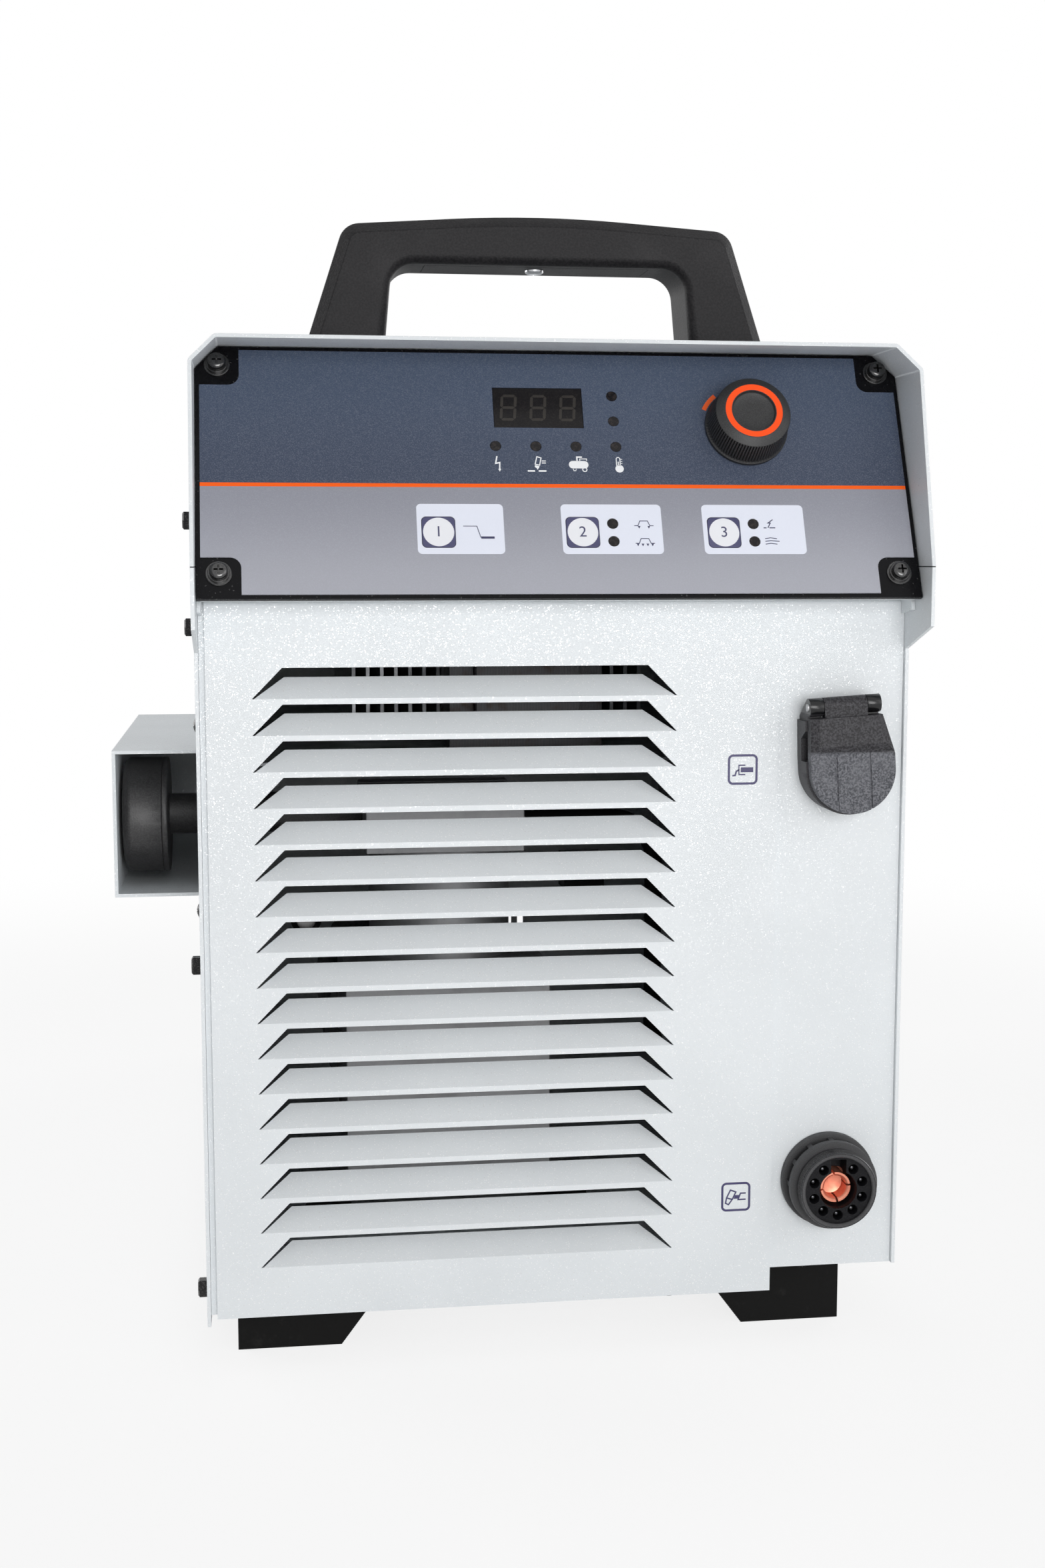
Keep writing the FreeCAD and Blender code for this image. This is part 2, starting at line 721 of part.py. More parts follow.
def side_screw_places():
    front, rear = SIDE_SCREW_FROM_EDGE, REAR_INNER - SIDE_SCREW_FROM_EDGE + SHEET
    return (side_screw_row(facing_left, front, SIDE_SCREW_LOWEST_LEFT)
            + side_screw_row(facing_right, front, SIDE_SCREW_LOWEST_RIGHT)
            + side_screw_row(facing_left, rear, SIDE_SCREW_LOWEST_REAR)
            + side_screw_row(facing_right, rear, SIDE_SCREW_LOWEST_REAR))


def side_screw_holes(radius):
    return [disc(radius, -2 * SIDE_SCREW_LENGTH, SHEET, place) for place in side_screw_places()]


def side_screws():
    return group([hex_screw(place) for place in side_screw_places()])


# Case

def chamfer_cutters(gap):
    """Wedges that cut a plate's upper corners parallel to the cover's chamfers, a gap inside them."""
    reach = HALF + TOP - COVER_CHAMFER - (SHEET + gap) * math.sqrt(2)
    far_x, far_z = HALF + 5, TOP + 5
    wedge = prism_y([(far_x, reach - far_x), (far_x, far_z), (reach - far_z, far_z)], -BIG / 2, BIG / 2)
    return [wedge, mirrored(wedge)]


def base_pan():
    floor = box(-SHEET_EDGE, SHEET_EDGE, FRONT_BACK, REAR_INNER, PAN, FLOOR)
    inset = FLANGE_DEPTH + PAN_FLANGE_GAP
    flange = box(SHEET_EDGE - SHEET, SHEET_EDGE, FRONT_BACK + inset, REAR_INNER - inset, PAN,
                 FLOOR + PAN_FLANGE_HEIGHT)
    corner = box(SHEET_EDGE - SHEET - SHEET_GAP, HALF, 0, FRONT_BACK + FLANGE_DEPTH + SHEET_GAP,
                 PAN - 1, FLOOR + 1)
    holes = [disc(M5_RADIUS, -5, 5, facing_up(x, y, PAN)) for x, y in foot_screw_points()]
    holes.append(disc(M4_RADIUS, -5, 5, facing_up(CONNECTOR_SCREW_X, BOTTOM_SCREW_Y, PAN)))
    return cut_all(joined([floor, flange, mirrored(flange)]), [corner, mirrored(corner)] + holes)


def plate_point(up, out):
    """Place in the (y, z) section of a point up along the control plate and out of it."""
    point = PLATE_FRAME.multVec(vec(0, up, out))
    return point.y, point.z


def plate_depth_at(z, out):
    """How far back a plane parallel to the control plate, and out of it, is at a height."""
    up = (z - PLATE_BOTTOM_Z - out * math.sin(TILT)) / math.cos(TILT)
    return plate_point(up, out)[0]


def plate_height():
    """Length of the control plate along its slope, up to a gap below the top sheet."""
    return (TOP - SHEET - PLATE_GAP - PLATE_BOTTOM_Z) / math.cos(TILT)


def ledge_height():
    """Where the sheet that carries the control plate folds forward, over the front sheet."""
    return PLATE_BOTTOM_Z - LEDGE_DROP


def front_panel():
    """Flat front sheet, stepped along its lower edge, with flanges at the sides and below."""
    top = ledge_height() - SHEET_GAP
    sheet = box(-SHEET_EDGE, SHEET_EDGE, FRONT_FACE, FRONT_BACK, LOUVRE_BOTTOM + SHEET, top)
    flange_top = SEAM + SIDE_SCREW_TOP_RISE + SIDE_SCREW_FROM_EDGE
    flange_back = FRONT_BACK + FLANGE_DEPTH
    flange_front = plate_depth_at(flange_top, -PLATE_THICKNESS - SHEET_GAP)
    ledge_front = plate_depth_at(ledge_height() + SHEET, -PLATE_THICKNESS - SHEET_GAP)
    flange_outline = [(FRONT_FACE, LOUVRE_BOTTOM + SHEET), (flange_back, LOUVRE_BOTTOM + SHEET),
                      (flange_back, flange_top), (flange_front, flange_top),
                      (ledge_front + SIDE_FLANGE_NOTCH, ledge_height() + SHEET),
                      (FRONT_FACE, ledge_height() - SHEET_GAP)]
    flange = prism_x(flange_outline, SHEET_EDGE - SHEET, SHEET_EDGE)
    louvre_flange = box(-SHEET_EDGE + SHEET, LOUVRE_RIGHT - SHEET, FRONT_FACE, FRONT_FACE + BOTTOM_FLANGE,
                        LOUVRE_BOTTOM + SHEET, LOUVRE_BOTTOM + 2 * SHEET)
    connector_flange = box(LOUVRE_RIGHT - SHEET, SHEET_EDGE, FRONT_FACE, FRONT_FACE + BOTTOM_FLANGE + SHEET,
                           PAN - CONNECTOR_SKIRT, PAN)
    whole = joined([sheet, flange, mirrored(flange), louvre_flange, connector_flange])
    below_connectors = box(LOUVRE_RIGHT - SHEET, HALF, 0, 2 * flange_back, 0, PAN - CONNECTOR_SKIRT)
    first, last = louvre_tops()[0], louvre_tops()[-1]
    air_window = box(louvre_left(0) - AIR_WINDOW_MARGIN, louvre_right(0) + AIR_WINDOW_MARGIN,
                     0, 2 * FRONT_BACK, last - LOUVRE_HEIGHT - AIR_WINDOW_MARGIN, first + AIR_WINDOW_MARGIN)
    sockets = [disc(TORCH_NOSE_RADIUS + SOCKET_CLEARANCE, -10, 10, facing_front(TORCH_X, TORCH_Z)),
               disc(WORK_BARREL_RADIUS + SOCKET_CLEARANCE, -10, 10, facing_front(WORK_X, WORK_Z))]
    screws = [disc(M4_RADIUS, -5, 5, facing_up(x, BOTTOM_SCREW_Y, LOUVRE_BOTTOM + SHEET))
              for x in BOTTOM_SCREW_XS]
    screws.append(disc(M4_RADIUS + SCREW_CLEARANCE, -1, 3,
                       facing_up(CONNECTOR_SCREW_X, BOTTOM_SCREW_Y, PAN - CONNECTOR_SKIRT)))
    return cut_all(whole, [below_connectors, air_window] + sockets + screws + side_screw_holes(M5_RADIUS))


def panel_frame():
    """Bent sheet that carries the control plate: a ledge over the front sheet, then a sloped frame."""
    back_of_plate = -PLATE_THICKNESS
    path = [(FRONT_BACK, ledge_height() - FRAME_FLANGE), (FRONT_BACK, ledge_height()),
            plate_point(FRAME_LOW_END, back_of_plate),
            plate_point(plate_height() - FRAME_HIGH_END, back_of_plate)]
    half = SHEET_EDGE - SHEET - SHEET_GAP
    sheet = prism_x(bent_sheet(path), -half, half)
    window = slab(CASE_WIDTH - 2 * (SHEET + SHEET_GAP + PLATE_STRIP), BIG, -20, 20,
                  on_plate(0, FRAME_LOWER_STRIP + BIG / 2))
    window = window.cut(slab(BIG, BIG, -30, 30, on_plate(0, plate_height() - FRAME_UPPER_STRIP + BIG / 2)))
    screws = [disc(M4_RADIUS, -10, 10, on_plate(across, up)) for across, up in plate_screw_points()]
    return cut_all(sheet, [window] + chamfer_cutters(PLATE_GAP) + screws)


def louvre_panel_top():
    return ledge_height() - LOUVRE_PANEL_TOP_GAP


def louvre_tops():
    """Heights of the louvres' upper edges: as many as the panel has room for."""
    first = louvre_panel_top() - LOUVRE_TOP_MARGIN
    room = first - LOUVRE_HEIGHT - (LOUVRE_BOTTOM + LOUVRE_BOTTOM_MARGIN)
    return [first - LOUVRE_PITCH * k for k in range(int(room / LOUVRE_PITCH) + 1)]


def louvre_left(rise):
    """Left end of a louvre at a share of its height, 0 at the fold and 1 at the upper edge."""
    return LOUVRE_LEFT + LOUVRE_LEFT_MARGIN + LOUVRE_END_RUN * rise


def louvre_right(rise):
    return louvre_left(1) + LOUVRE_TOP_WIDTH + LOUVRE_END_RUN * (1 - rise)


def louvre_slot(top):
    fold = top - LOUVRE_HEIGHT
    return prism_y([(louvre_left(0), fold), (louvre_left(1), top), (louvre_right(1), top),
                    (louvre_right(0), fold)], -1, 2 * SHEET)


def louvre_flap(top):
    """Flap that stays hinged to the sheet along its lower fold and leans inwards."""
    fold = top - LOUVRE_HEIGHT
    outline = [(louvre_left(0) + LOUVRE_CUT, fold), (louvre_left(1) + LOUVRE_CUT, top - LOUVRE_CUT),
               (louvre_right(1) - LOUVRE_CUT, top - LOUVRE_CUT), (louvre_right(0) - LOUVRE_CUT, fold)]
    flap = prism_y(outline, 0, SHEET)
    flap.rotate(vec(0, 0, fold), RIGHT, -LOUVRE_TILT)
    return flap


def louvre_panel():
    sheet = box(LOUVRE_LEFT, LOUVRE_RIGHT, 0, SHEET, LOUVRE_BOTTOM, louvre_panel_top())
    flange = box(LOUVRE_LEFT, LOUVRE_RIGHT, 0, BOTTOM_FLANGE, LOUVRE_BOTTOM, LOUVRE_BOTTOM + SHEET)
    whole = cut_all(joined([sheet, flange]), [louvre_slot(top) for top in louvre_tops()])
    whole = joined([whole] + [louvre_flap(top) for top in louvre_tops()])
    screws = [disc(M4_RADIUS + SCREW_CLEARANCE, -1, 3, facing_up(x, BOTTOM_SCREW_Y, LOUVRE_BOTTOM))
              for x in BOTTOM_SCREW_XS]
    return cut_all(whole, screws)


def visor_front(z):
    """Where the front edge of the upper cover is at a height above the seam."""
    slope = (VISOR_REACH_AT_SEAM - VISOR_REACH_AT_TOP) / SEAM_DROP
    return slope * (z - SEAM) - VISOR_REACH_AT_SEAM


def upper_cover():
    foot = SEAM + SEAM_GAP / 2
    path = [(-HALF, foot), (-HALF, TOP - COVER_CHAMFER), (-HALF + COVER_CHAMFER, TOP),
            (HALF - COVER_CHAMFER, TOP), (HALF, TOP - COVER_CHAMFER), (HALF, foot)]
    shell = prism_y(bent_sheet(path), visor_front(SEAM) - 5, CASE_DEPTH)
    bends = [edge for edge in shell.Edges if along_y(edge) and foot + 1 < edge.Vertexes[0].Point.z]
    outer = [edge for edge in bends if is_outer_bend(edge.Vertexes[0].Point)]
    inner = [edge for edge in bends if not is_outer_bend(edge.Vertexes[0].Point)]
    shell = shell.makeFillet(COVER_BEND, outer)
    shell = shell.makeFillet(COVER_BEND - SHEET, [edge for edge in shell.Edges
                                                  if any(same_run(edge, old) for old in inner)])
    front = prism_x([(-BIG, 0), (visor_front(0), 0), (visor_front(BIG), BIG), (-BIG, BIG)],
                    -CASE_WIDTH, CASE_WIDTH)
    holes = [disc(M5_RADIUS + SCREW_CLEARANCE, -5, 5, facing_up(x, y, TOP)) for x, y in handle_screw_points()]
    return cut_all(shell, [front] + holes + side_screw_holes(M5_RADIUS + SCREW_CLEARANCE))


def is_outer_bend(point):
    return abs(abs(point.x) - HALF) < 1e-6 or abs(point.z - TOP) < 1e-6


def same_run(edge, other):
    return along_y(edge) and (edge.Vertexes[0].Point - other.Vertexes[0].Point).Length < 1e-4


def side_sheet(skirt):
    """Sheet of the right side with its lap behind the seam, before any holes, down to a skirt below the pan."""
    lip_low = SEAM - VISOR_LIP_HEIGHT
    outline = [(visor_front(SEAM), SEAM - SEAM_GAP / 2), (visor_front(SEAM), lip_low),
               (-SIDE_FRONT_LAP, lip_low - VISOR_LIP_SLANT), (-SIDE_FRONT_LAP, PAN - skirt),
               (CASE_DEPTH, PAN - skirt), (CASE_DEPTH, SEAM - SEAM_GAP / 2)]
    sheet = prism_x(outline, INSIDE, HALF)
    inset = FLANGE_DEPTH + LAP_END_GAP
    lap = box(INSIDE - SHEET, INSIDE, FRONT_BACK + inset, REAR_INNER - inset, SEAM - LAP_BELOW_SEAM,
              SEAM + LAP_ABOVE_SEAM)
    return joined([sheet, lap])


def side_panel_right():
    return cut_all(side_sheet(CONNECTOR_SKIRT), side_screw_holes(M5_RADIUS + SCREW_CLEARANCE))


def side_panel_left():
    pipe = disc(INTAKE_PIPE_RADIUS + PIPE_CLEARANCE, -10, 10, facing_left(INTAKE_Y, INTAKE_Z))
    guard = [disc(M4_RADIUS, -5, 5, place) for place in guard_screw_places()]
    holes = [pipe] + guard + side_screw_holes(M5_RADIUS + SCREW_CLEARANCE)
    return cut_all(mirrored(side_sheet(SIDE_SKIRT)), holes)


def rear_panel():
    outline = [(-SHEET_EDGE, LOUVRE_BOTTOM + SHEET), (SHEET_EDGE, LOUVRE_BOTTOM + SHEET),
               (SHEET_EDGE, TOP - SHEET - SHEET_GAP), (-SHEET_EDGE, TOP - SHEET - SHEET_GAP)]
    sheet = prism_y(outline, REAR_INNER, REAR_FACE)
    flange = box(SHEET_EDGE - SHEET, SHEET_EDGE, REAR_INNER - FLANGE_DEPTH, REAR_FACE,
                 FLOOR + SHEET_GAP, TOP - 2 * COVER_CHAMFER)
    fan = facing_rear(0, FAN_Z)
    cuts = [disc(FAN_BORE_RADIUS, -10, 10, fan),
            slab(SWITCH_BODY_WIDTH + 2 * SHEET_GAP, SWITCH_BODY_HEIGHT + 2 * SHEET_GAP, -10, 10,
                 facing_rear(SWITCH_X, SWITCH_Z)),
            disc(GLAND_THREAD_RADIUS, -10, 10, facing_rear(GLAND_X, GLAND_Z))]
    cuts += [disc(M4_RADIUS + SCREW_CLEARANCE, -5, 5, place) for place in fan_screw_places()]
    first = -VENT_PITCH * (VENT_SLOTS - 1) / 2
    cuts += [rounded_slab(VENT_WIDTH, VENT_HEIGHT, VENT_RADIUS, -10, 10,
                          facing_rear(first + VENT_PITCH * k, VENT_LOW + VENT_HEIGHT / 2))
             for k in range(VENT_SLOTS)]
    whole = joined([sheet, flange, mirrored(flange)])
    return cut_all(whole, cuts + chamfer_cutters(SHEET_GAP) + side_screw_holes(M5_RADIUS))


def bottom_screws():
    louvre = [dome_screw(facing_down(x, BOTTOM_SCREW_Y, LOUVRE_BOTTOM)) for x in BOTTOM_SCREW_XS]
    connector = dome_screw(facing_down(CONNECTOR_SCREW_X, BOTTOM_SCREW_Y, PAN - CONNECTOR_SKIRT))
    return group(louvre + [connector])


# Control plate and what it carries

def plate_half():
    return INSIDE - PLATE_GAP


def plate_screw_points():
    across = plate_half() - PLATE_SCREW_INSET
    return [(side * across, up) for side in (-1, 1)
            for up in (PLATE_SCREW_RISE, plate_height() - PLATE_SCREW_DROP)]


def key_points():
    return [(KEY_FIRST + KEY_PITCH * k, KEY_UP) for k in range(KEY_COUNT)]


def lamp_points():
    status = [(STATUS_LAMP_FIRST + STATUS_LAMP_PITCH * k, STATUS_LAMP_UP) for k in range(STATUS_LAMP_COUNT)]
    unit = [(UNIT_LAMP_ACROSS, UNIT_LAMP_UP + side * UNIT_LAMP_PITCH / 2) for side in (-1, 1)]
    mode = [(across + MODE_LAMP_OFFSET, up + side * MODE_LAMP_PITCH / 2)
            for across, up in key_points()[1:] for side in (-1, 1)]
    return status + unit + mode


def face_openings(gap):
    """What both the plate and its overlay are pierced by: keys, lamps and the encoder's bush."""
    cuts = [rounded_slab(KEY_SIZE + 2 * gap, KEY_SIZE + 2 * gap, KEY_RADIUS, -10, 10, on_plate(across, up))
            for across, up in key_points()]
    cuts += [disc(LAMP_RADIUS + gap, -10, 10, on_plate(across, up)) for across, up in lamp_points()]
    cuts.append(disc(ENCODER_BUSH_RADIUS + gap, -10, 10, on_plate(KNOB_ACROSS, KNOB_UP)))
    return cuts


def standoff_points():
    across = BOARD_WIDTH / 2 - STANDOFF_INSET
    return [(side * across, up) for side in (-1, 1)
            for up in (BOARD_BOTTOM + STANDOFF_INSET, BOARD_TOP - STANDOFF_INSET)]


def control_plate():
    plate = slab(2 * plate_half(), plate_height(), -PLATE_THICKNESS, 0, on_plate(0, plate_height() / 2))
    plate = cut_all(plate, chamfer_cutters(PLATE_GAP))
    studs = [disc(STANDOFF_RADIUS, BOARD_FACE, -PLATE_THICKNESS, on_plate(across, up))
             for across, up in standoff_points()]
    window = slab(DISPLAY_WIDTH + 2 * KEY_CLEARANCE, DISPLAY_HEIGHT + 2 * KEY_CLEARANCE, -10, 10,
                  on_plate(DISPLAY_ACROSS, DISPLAY_UP))
    screws = [disc(M4_RADIUS + SCREW_CLEARANCE, -10, 10, on_plate(across, up))
              for across, up in plate_screw_points()]
    return cut_all(joined([plate] + studs), [window] + screws + face_openings(KEY_CLEARANCE))


def control_overlay():
    width, height = 2 * (plate_half() - OVERLAY_MARGIN), plate_height() - 2 * OVERLAY_MARGIN
    film = slab(width, height, 0, OVERLAY_THICKNESS, on_plate(0, plate_height() / 2))
    reach = OVERLAY_NOTCH * 2
    notches = [rounded_slab(reach, reach, OVERLAY_NOTCH_RADIUS, -1, 1, on_plate(side * width / 2, up))
               for side in (-1, 1) for up in (OVERLAY_MARGIN, plate_height() - OVERLAY_MARGIN)]
    window = slab(DISPLAY_WIDTH + 2 * KEY_CLEARANCE, DISPLAY_HEIGHT + 2 * KEY_CLEARANCE, -10, 10,
                  on_plate(DISPLAY_ACROSS, DISPLAY_UP))
    return cut_all(film, notches + [window] + face_openings(KEY_CLEARANCE))


def control_screws():
    return group([washer_screw(on_plate(across, up)) for across, up in plate_screw_points()])


def display_module():
    place = on_plate(DISPLAY_ACROSS, DISPLAY_UP)
    body = slab(DISPLAY_WIDTH + 2 * DISPLAY_BODY_MARGIN, DISPLAY_HEIGHT + 2 * DISPLAY_BODY_MARGIN,
                BOARD_FACE, -PLATE_THICKNESS, place)
    window = slab(DISPLAY_WIDTH, DISPLAY_HEIGHT, -PLATE_THICKNESS, OVERLAY_THICKNESS - DISPLAY_SINK, place)
    return joined([body, window])


def indicator_leds():
    return group([disc(LAMP_RADIUS, BOARD_FACE, OVERLAY_THICKNESS, on_plate(across, up))
                  for across, up in lamp_points()])


def stem_end():
    """Inner end of a key's stem, which stops short of the switch by the travel and a little more."""
    return BOARD_FACE + SWITCH_HEIGHT + SWITCH_PLUNGER_HEIGHT + KEY_TRAVEL + KEY_STEM_GAP


def control_board():
    middle = (BOARD_BOTTOM + BOARD_TOP) / 2
    board = slab(BOARD_WIDTH, BOARD_TOP - BOARD_BOTTOM, BOARD_FACE - BOARD_THICKNESS, BOARD_FACE,
                 on_plate(0, middle))
    switches = []
    for across, up in key_points():
        top = BOARD_FACE + SWITCH_HEIGHT
        switches.append(slab(SWITCH_SIZE, SWITCH_SIZE, BOARD_FACE, top, on_plate(across, up)))
        switches.append(disc(SWITCH_PLUNGER_RADIUS, top, top + SWITCH_PLUNGER_HEIGHT, on_plate(across, up)))
    return joined([board] + switches)


def key(number):
    across, up = key_points()[number]
    place = on_plate(across, up)
    face = OVERLAY_THICKNESS + KEY_PROUD
    cap = rounded_slab(KEY_SIZE, KEY_SIZE, KEY_RADIUS, face - KEY_DEPTH, face, place)
    return joined([cap, disc(KEY_STEM_RADIUS, stem_end(), face - KEY_DEPTH, place)])


def encoder():
    place = on_plate(KNOB_ACROSS, KNOB_UP)
    body = slab(ENCODER_SIZE, ENCODER_SIZE, BOARD_FACE, BOARD_FACE + ENCODER_HEIGHT, place)
    bush_end = OVERLAY_THICKNESS + ENCODER_NUT_HEIGHT
    bush = disc(ENCODER_BUSH_RADIUS, BOARD_FACE, bush_end, place)
    nut = hexagon(ENCODER_NUT_ACROSS_FLATS, OVERLAY_THICKNESS, bush_end, place)
    bore = disc(ENCODER_SHAFT_RADIUS + RUNNING_GAP, BOARD_FACE + ENCODER_FLOOR, bush_end + 1, place)
    return joined([body, bush, nut]).cut(bore)


def knob_base():
    return OVERLAY_THICKNESS + KNOB_GAP


def encoder_shaft():
    end = knob_base() + KNOB_RECESS_DEPTH + ENCODER_SHAFT_IN_KNOB
    start = BOARD_FACE + ENCODER_FLOOR + RUNNING_GAP
    return disc(ENCODER_SHAFT_RADIUS, start, end, on_plate(KNOB_ACROSS, KNOB_UP))


def knob():
    low = knob_base()
    high = low + KNOB_HEIGHT
    place = on_plate(KNOB_ACROSS, KNOB_UP)
    bore_end = low + KNOB_RECESS_DEPTH + ENCODER_SHAFT_IN_KNOB
    profile = [(KNOB_RECESS_RADIUS, low), (KNOB_BASE_RADIUS, low), (KNOB_BASE_RADIUS, low + KNOB_BAND),
               (KNOB_BASE_RADIUS - KNOB_STEP, low + KNOB_BAND + KNOB_STEP_HEIGHT),
               (KNOB_RIM_RADIUS, high - KNOB_BEVEL), (RING_OUTER_RADIUS + KNOB_LIP, high),
               (RING_OUTER_RADIUS, high), (RING_OUTER_RADIUS, high - RING_THICKNESS),
               (RING_INNER_RADIUS, high - RING_THICKNESS), (RING_INNER_RADIUS, high - RING_THICKNESS / 2),
               (0, high - RING_THICKNESS / 2 - CAP_DISH), (0, bore_end), (ENCODER_SHAFT_RADIUS, bore_end),
               (ENCODER_SHAFT_RADIUS, low + KNOB_RECESS_DEPTH), (KNOB_RECESS_RADIUS, low + KNOB_RECESS_DEPTH)]
    flute = extruded([(KNOB_BASE_RADIUS - KNOB_FLUTE_DEPTH, 0), (KNOB_BASE_RADIUS + 1, -KNOB_FLUTE_WIDTH),
                      (KNOB_BASE_RADIUS + 1, KNOB_FLUTE_WIDTH)], lambda x, y: vec(x, y, low + KNOB_SKIRT),
                     vec(KNOB_RIM_RADIUS - KNOB_BASE_RADIUS, 0, KNOB_HEIGHT))
    flutes = []
    for k in range(KNOB_FLUTES):
        turn = FreeCAD.Placement(vec(0, 0, 0), FreeCAD.Rotation(UP, 360.0 * (k + 0.5) / KNOB_FLUTES))
        flutes.append(placed(flute, place.multiply(turn)))
    return cut_all(turned(profile, place), flutes)


def knob_ring():
    high = knob_base() + KNOB_HEIGHT
    place = on_plate(KNOB_ACROSS, KNOB_UP)
    return tube(RING_OUTER_RADIUS, RING_INNER_RADIUS, high - RING_THICKNESS, high, place)


# Carrying handle

def handle_screw_points():
    middle = HANDLE_SETBACK + HANDLE_DEPTH / 2
    across = (HANDLE_SPAN + HANDLE_OPENING) / 4
    return [(side * across, middle + end * HANDLE_SCREW_SPREAD / 2) for side in (-1, 1) for end in (-1, 1)]


def grip_underside():
    return TOP + HANDLE_OPENING_HEIGHT


def handle_shell():
    foot, shoulder = HANDLE_SPAN / 2, HANDLE_SHOULDER / 2
    opening, narrowed = HANDLE_OPENING / 2, HANDLE_OPENING_TOP / 2
    crown = TOP + HANDLE_HEIGHT
    outline = [(-foot, TOP, 0), (-shoulder, crown - HANDLE_CROWN, HANDLE_SHOULDER_RADIUS),
               (0, crown, HANDLE_CROWN_RADIUS), (shoulder, crown - HANDLE_CROWN, HANDLE_SHOULDER_RADIUS),
               (foot, TOP, 0), (opening, TOP, 0), (narrowed, grip_underside(), HANDLE_OPENING_RADIUS),
               (-narrowed, grip_underside(), HANDLE_OPENING_RADIUS), (-opening, TOP, 0)]
    front = HANDLE_SETBACK
    arch = rounded_face(outline, lambda x, z: vec(x, front, z)).extrude(vec(0, HANDLE_DEPTH, 0))
    arch = arch.makeChamfer(HANDLE_RIM_BEVEL, [edge for edge in rims(arch) if not by_opening(edge)])
    arch = arch.makeFillet(HANDLE_EDGE_RADIUS, [edge for edge in rims(arch) if by_opening(edge)])
    middle = front + HANDLE_DEPTH / 2
    seat = box(-INSERT_LENGTH / 2 - SHEET_GAP, INSERT_LENGTH / 2 + SHEET_GAP,
               middle - INSERT_WIDTH / 2 - SHEET_GAP, middle + INSERT_WIDTH / 2 + SHEET_GAP,
               grip_underside() - 1, grip_underside() + INSERT_THICKNESS)
    hollow = box(-INSERT_LENGTH / 2 + INSERT_LEDGE, INSERT_LENGTH / 2 - INSERT_LEDGE,
                 middle - INSERT_WIDTH / 2 + INSERT_LEDGE, middle + INSERT_WIDTH / 2 - INSERT_LEDGE,
                 grip_underside(), crown - HANDLE_CROWN - HANDLE_WALL)
    boss = disc(HANDLE_BOSS_RADIUS, grip_underside() + INSERT_THICKNESS, crown - HANDLE_CROWN,
                facing_up(0, middle, 0))
    pilot = disc(M3_RADIUS, grip_underside(), crown - HANDLE_CROWN - HANDLE_WALL, facing_up(0, middle, 0))
    screws = [disc(M5_RADIUS, -1, HANDLE_SCREW_DEPTH, facing_up(x, y, TOP)) for x, y in handle_screw_points()]
    hollow = hollow.cut(boss)
    return cut_all(arch, [seat, hollow, pilot] + screws)


def is_rim(edge, y):
    """Whether an edge of the handle lies in its front or rear face, and isn't along the foot."""
    points = [vertex.Point for vertex in edge.Vertexes]
    return all(abs(point.y - y) < 1e-6 for point in points) and max(point.z for point in points) > TOP + 1e-6


def rims(arch):
    back = HANDLE_SETBACK + HANDLE_DEPTH
    return [edge for edge in arch.Edges if is_rim(edge, HANDLE_SETBACK) or is_rim(edge, back)]


def by_opening(edge):
    """Whether an edge of the handle runs round its opening and not round its outside."""
    return all(abs(vertex.Point.x) < HANDLE_OPENING / 2 + 1 and vertex.Point.z < grip_underside() + 1
               for vertex in edge.Vertexes)


def handle_insert():
    middle = HANDLE_SETBACK + HANDLE_DEPTH / 2
    plate = box(-INSERT_LENGTH / 2, INSERT_LENGTH / 2, middle - INSERT_WIDTH / 2, middle + INSERT_WIDTH / 2,
                grip_underside(), grip_underside() + INSERT_THICKNESS)
    sink = disc(PAN_RADIUS + SCREW_CLEARANCE, -1, INSERT_SCREW_SINK, facing_up(0, middle, grip_underside()))
    hole = disc(M3_RADIUS + SCREW_CLEARANCE, -1, INSERT_THICKNESS + 1, facing_up(0, middle, grip_underside()))
    return cut_all(plate, [sink, hole])


def handle_screws():
    legs = [pan_screw(facing_down(x, y, TOP - SHEET), M5_RADIUS, SHEET + HANDLE_SCREW_DEPTH)
            for x, y in handle_screw_points()]
    middle = HANDLE_SETBACK + HANDLE_DEPTH / 2
    grip_place = facing_down(0, middle, grip_underside() + INSERT_SCREW_SINK)
    grip = pan_screw(grip_place, M3_RADIUS, GRIP_SCREW_LENGTH)
    return group(legs + [grip])


# Feet

def foot_edges():
    """Where the outer sides of the left and the right feet are."""
    return FOOT_INSET_LEFT - HALF, HALF - FOOT_INSET_RIGHT


def foot_screw_points():
    left, right = foot_edges()
    return [(x, y + FOOT_LENGTH / 2) for x in (left + FOOT_WIDTH / 2, right - FOOT_WIDTH / 2)
            for y in foot_fronts()]


def foot_fronts():
    return FOOT_SETBACK, REAR_INNER - FOOT_REAR_SETBACK - FOOT_LENGTH


def feet():
    blocks = []
    for outer, inwards in zip(foot_edges(), (1, -1)):
        outline = [(outer, 0), (outer, PAN), (outer + inwards * (FOOT_WIDTH + FOOT_FLARE), PAN),
                   (outer + inwards * FOOT_WIDTH, 0)]
        blocks += [prism_y(outline, y, y + FOOT_LENGTH) for y in foot_fronts()]
    cuts = []
    for x, y in foot_screw_points():
        cuts.append(disc(PAN_RADIUS + FOOT_SCREW_ROOM, -1, FOOT_SCREW_SINK, facing_up(x, y, 0)))
        cuts.append(disc(M5_RADIUS + SCREW_CLEARANCE, 0, PAN + 1, facing_up(x, y, 0)))
    return group([cut_all(block, cuts) for block in blocks])


def foot_screws():
    length = FLOOR - FOOT_SCREW_SINK + FOOT_SCREW_OVERHANG
    return group([pan_screw(facing_down(x, y, FOOT_SCREW_SINK), M5_RADIUS, length)
                  for x, y in foot_screw_points()])


# Intake filter

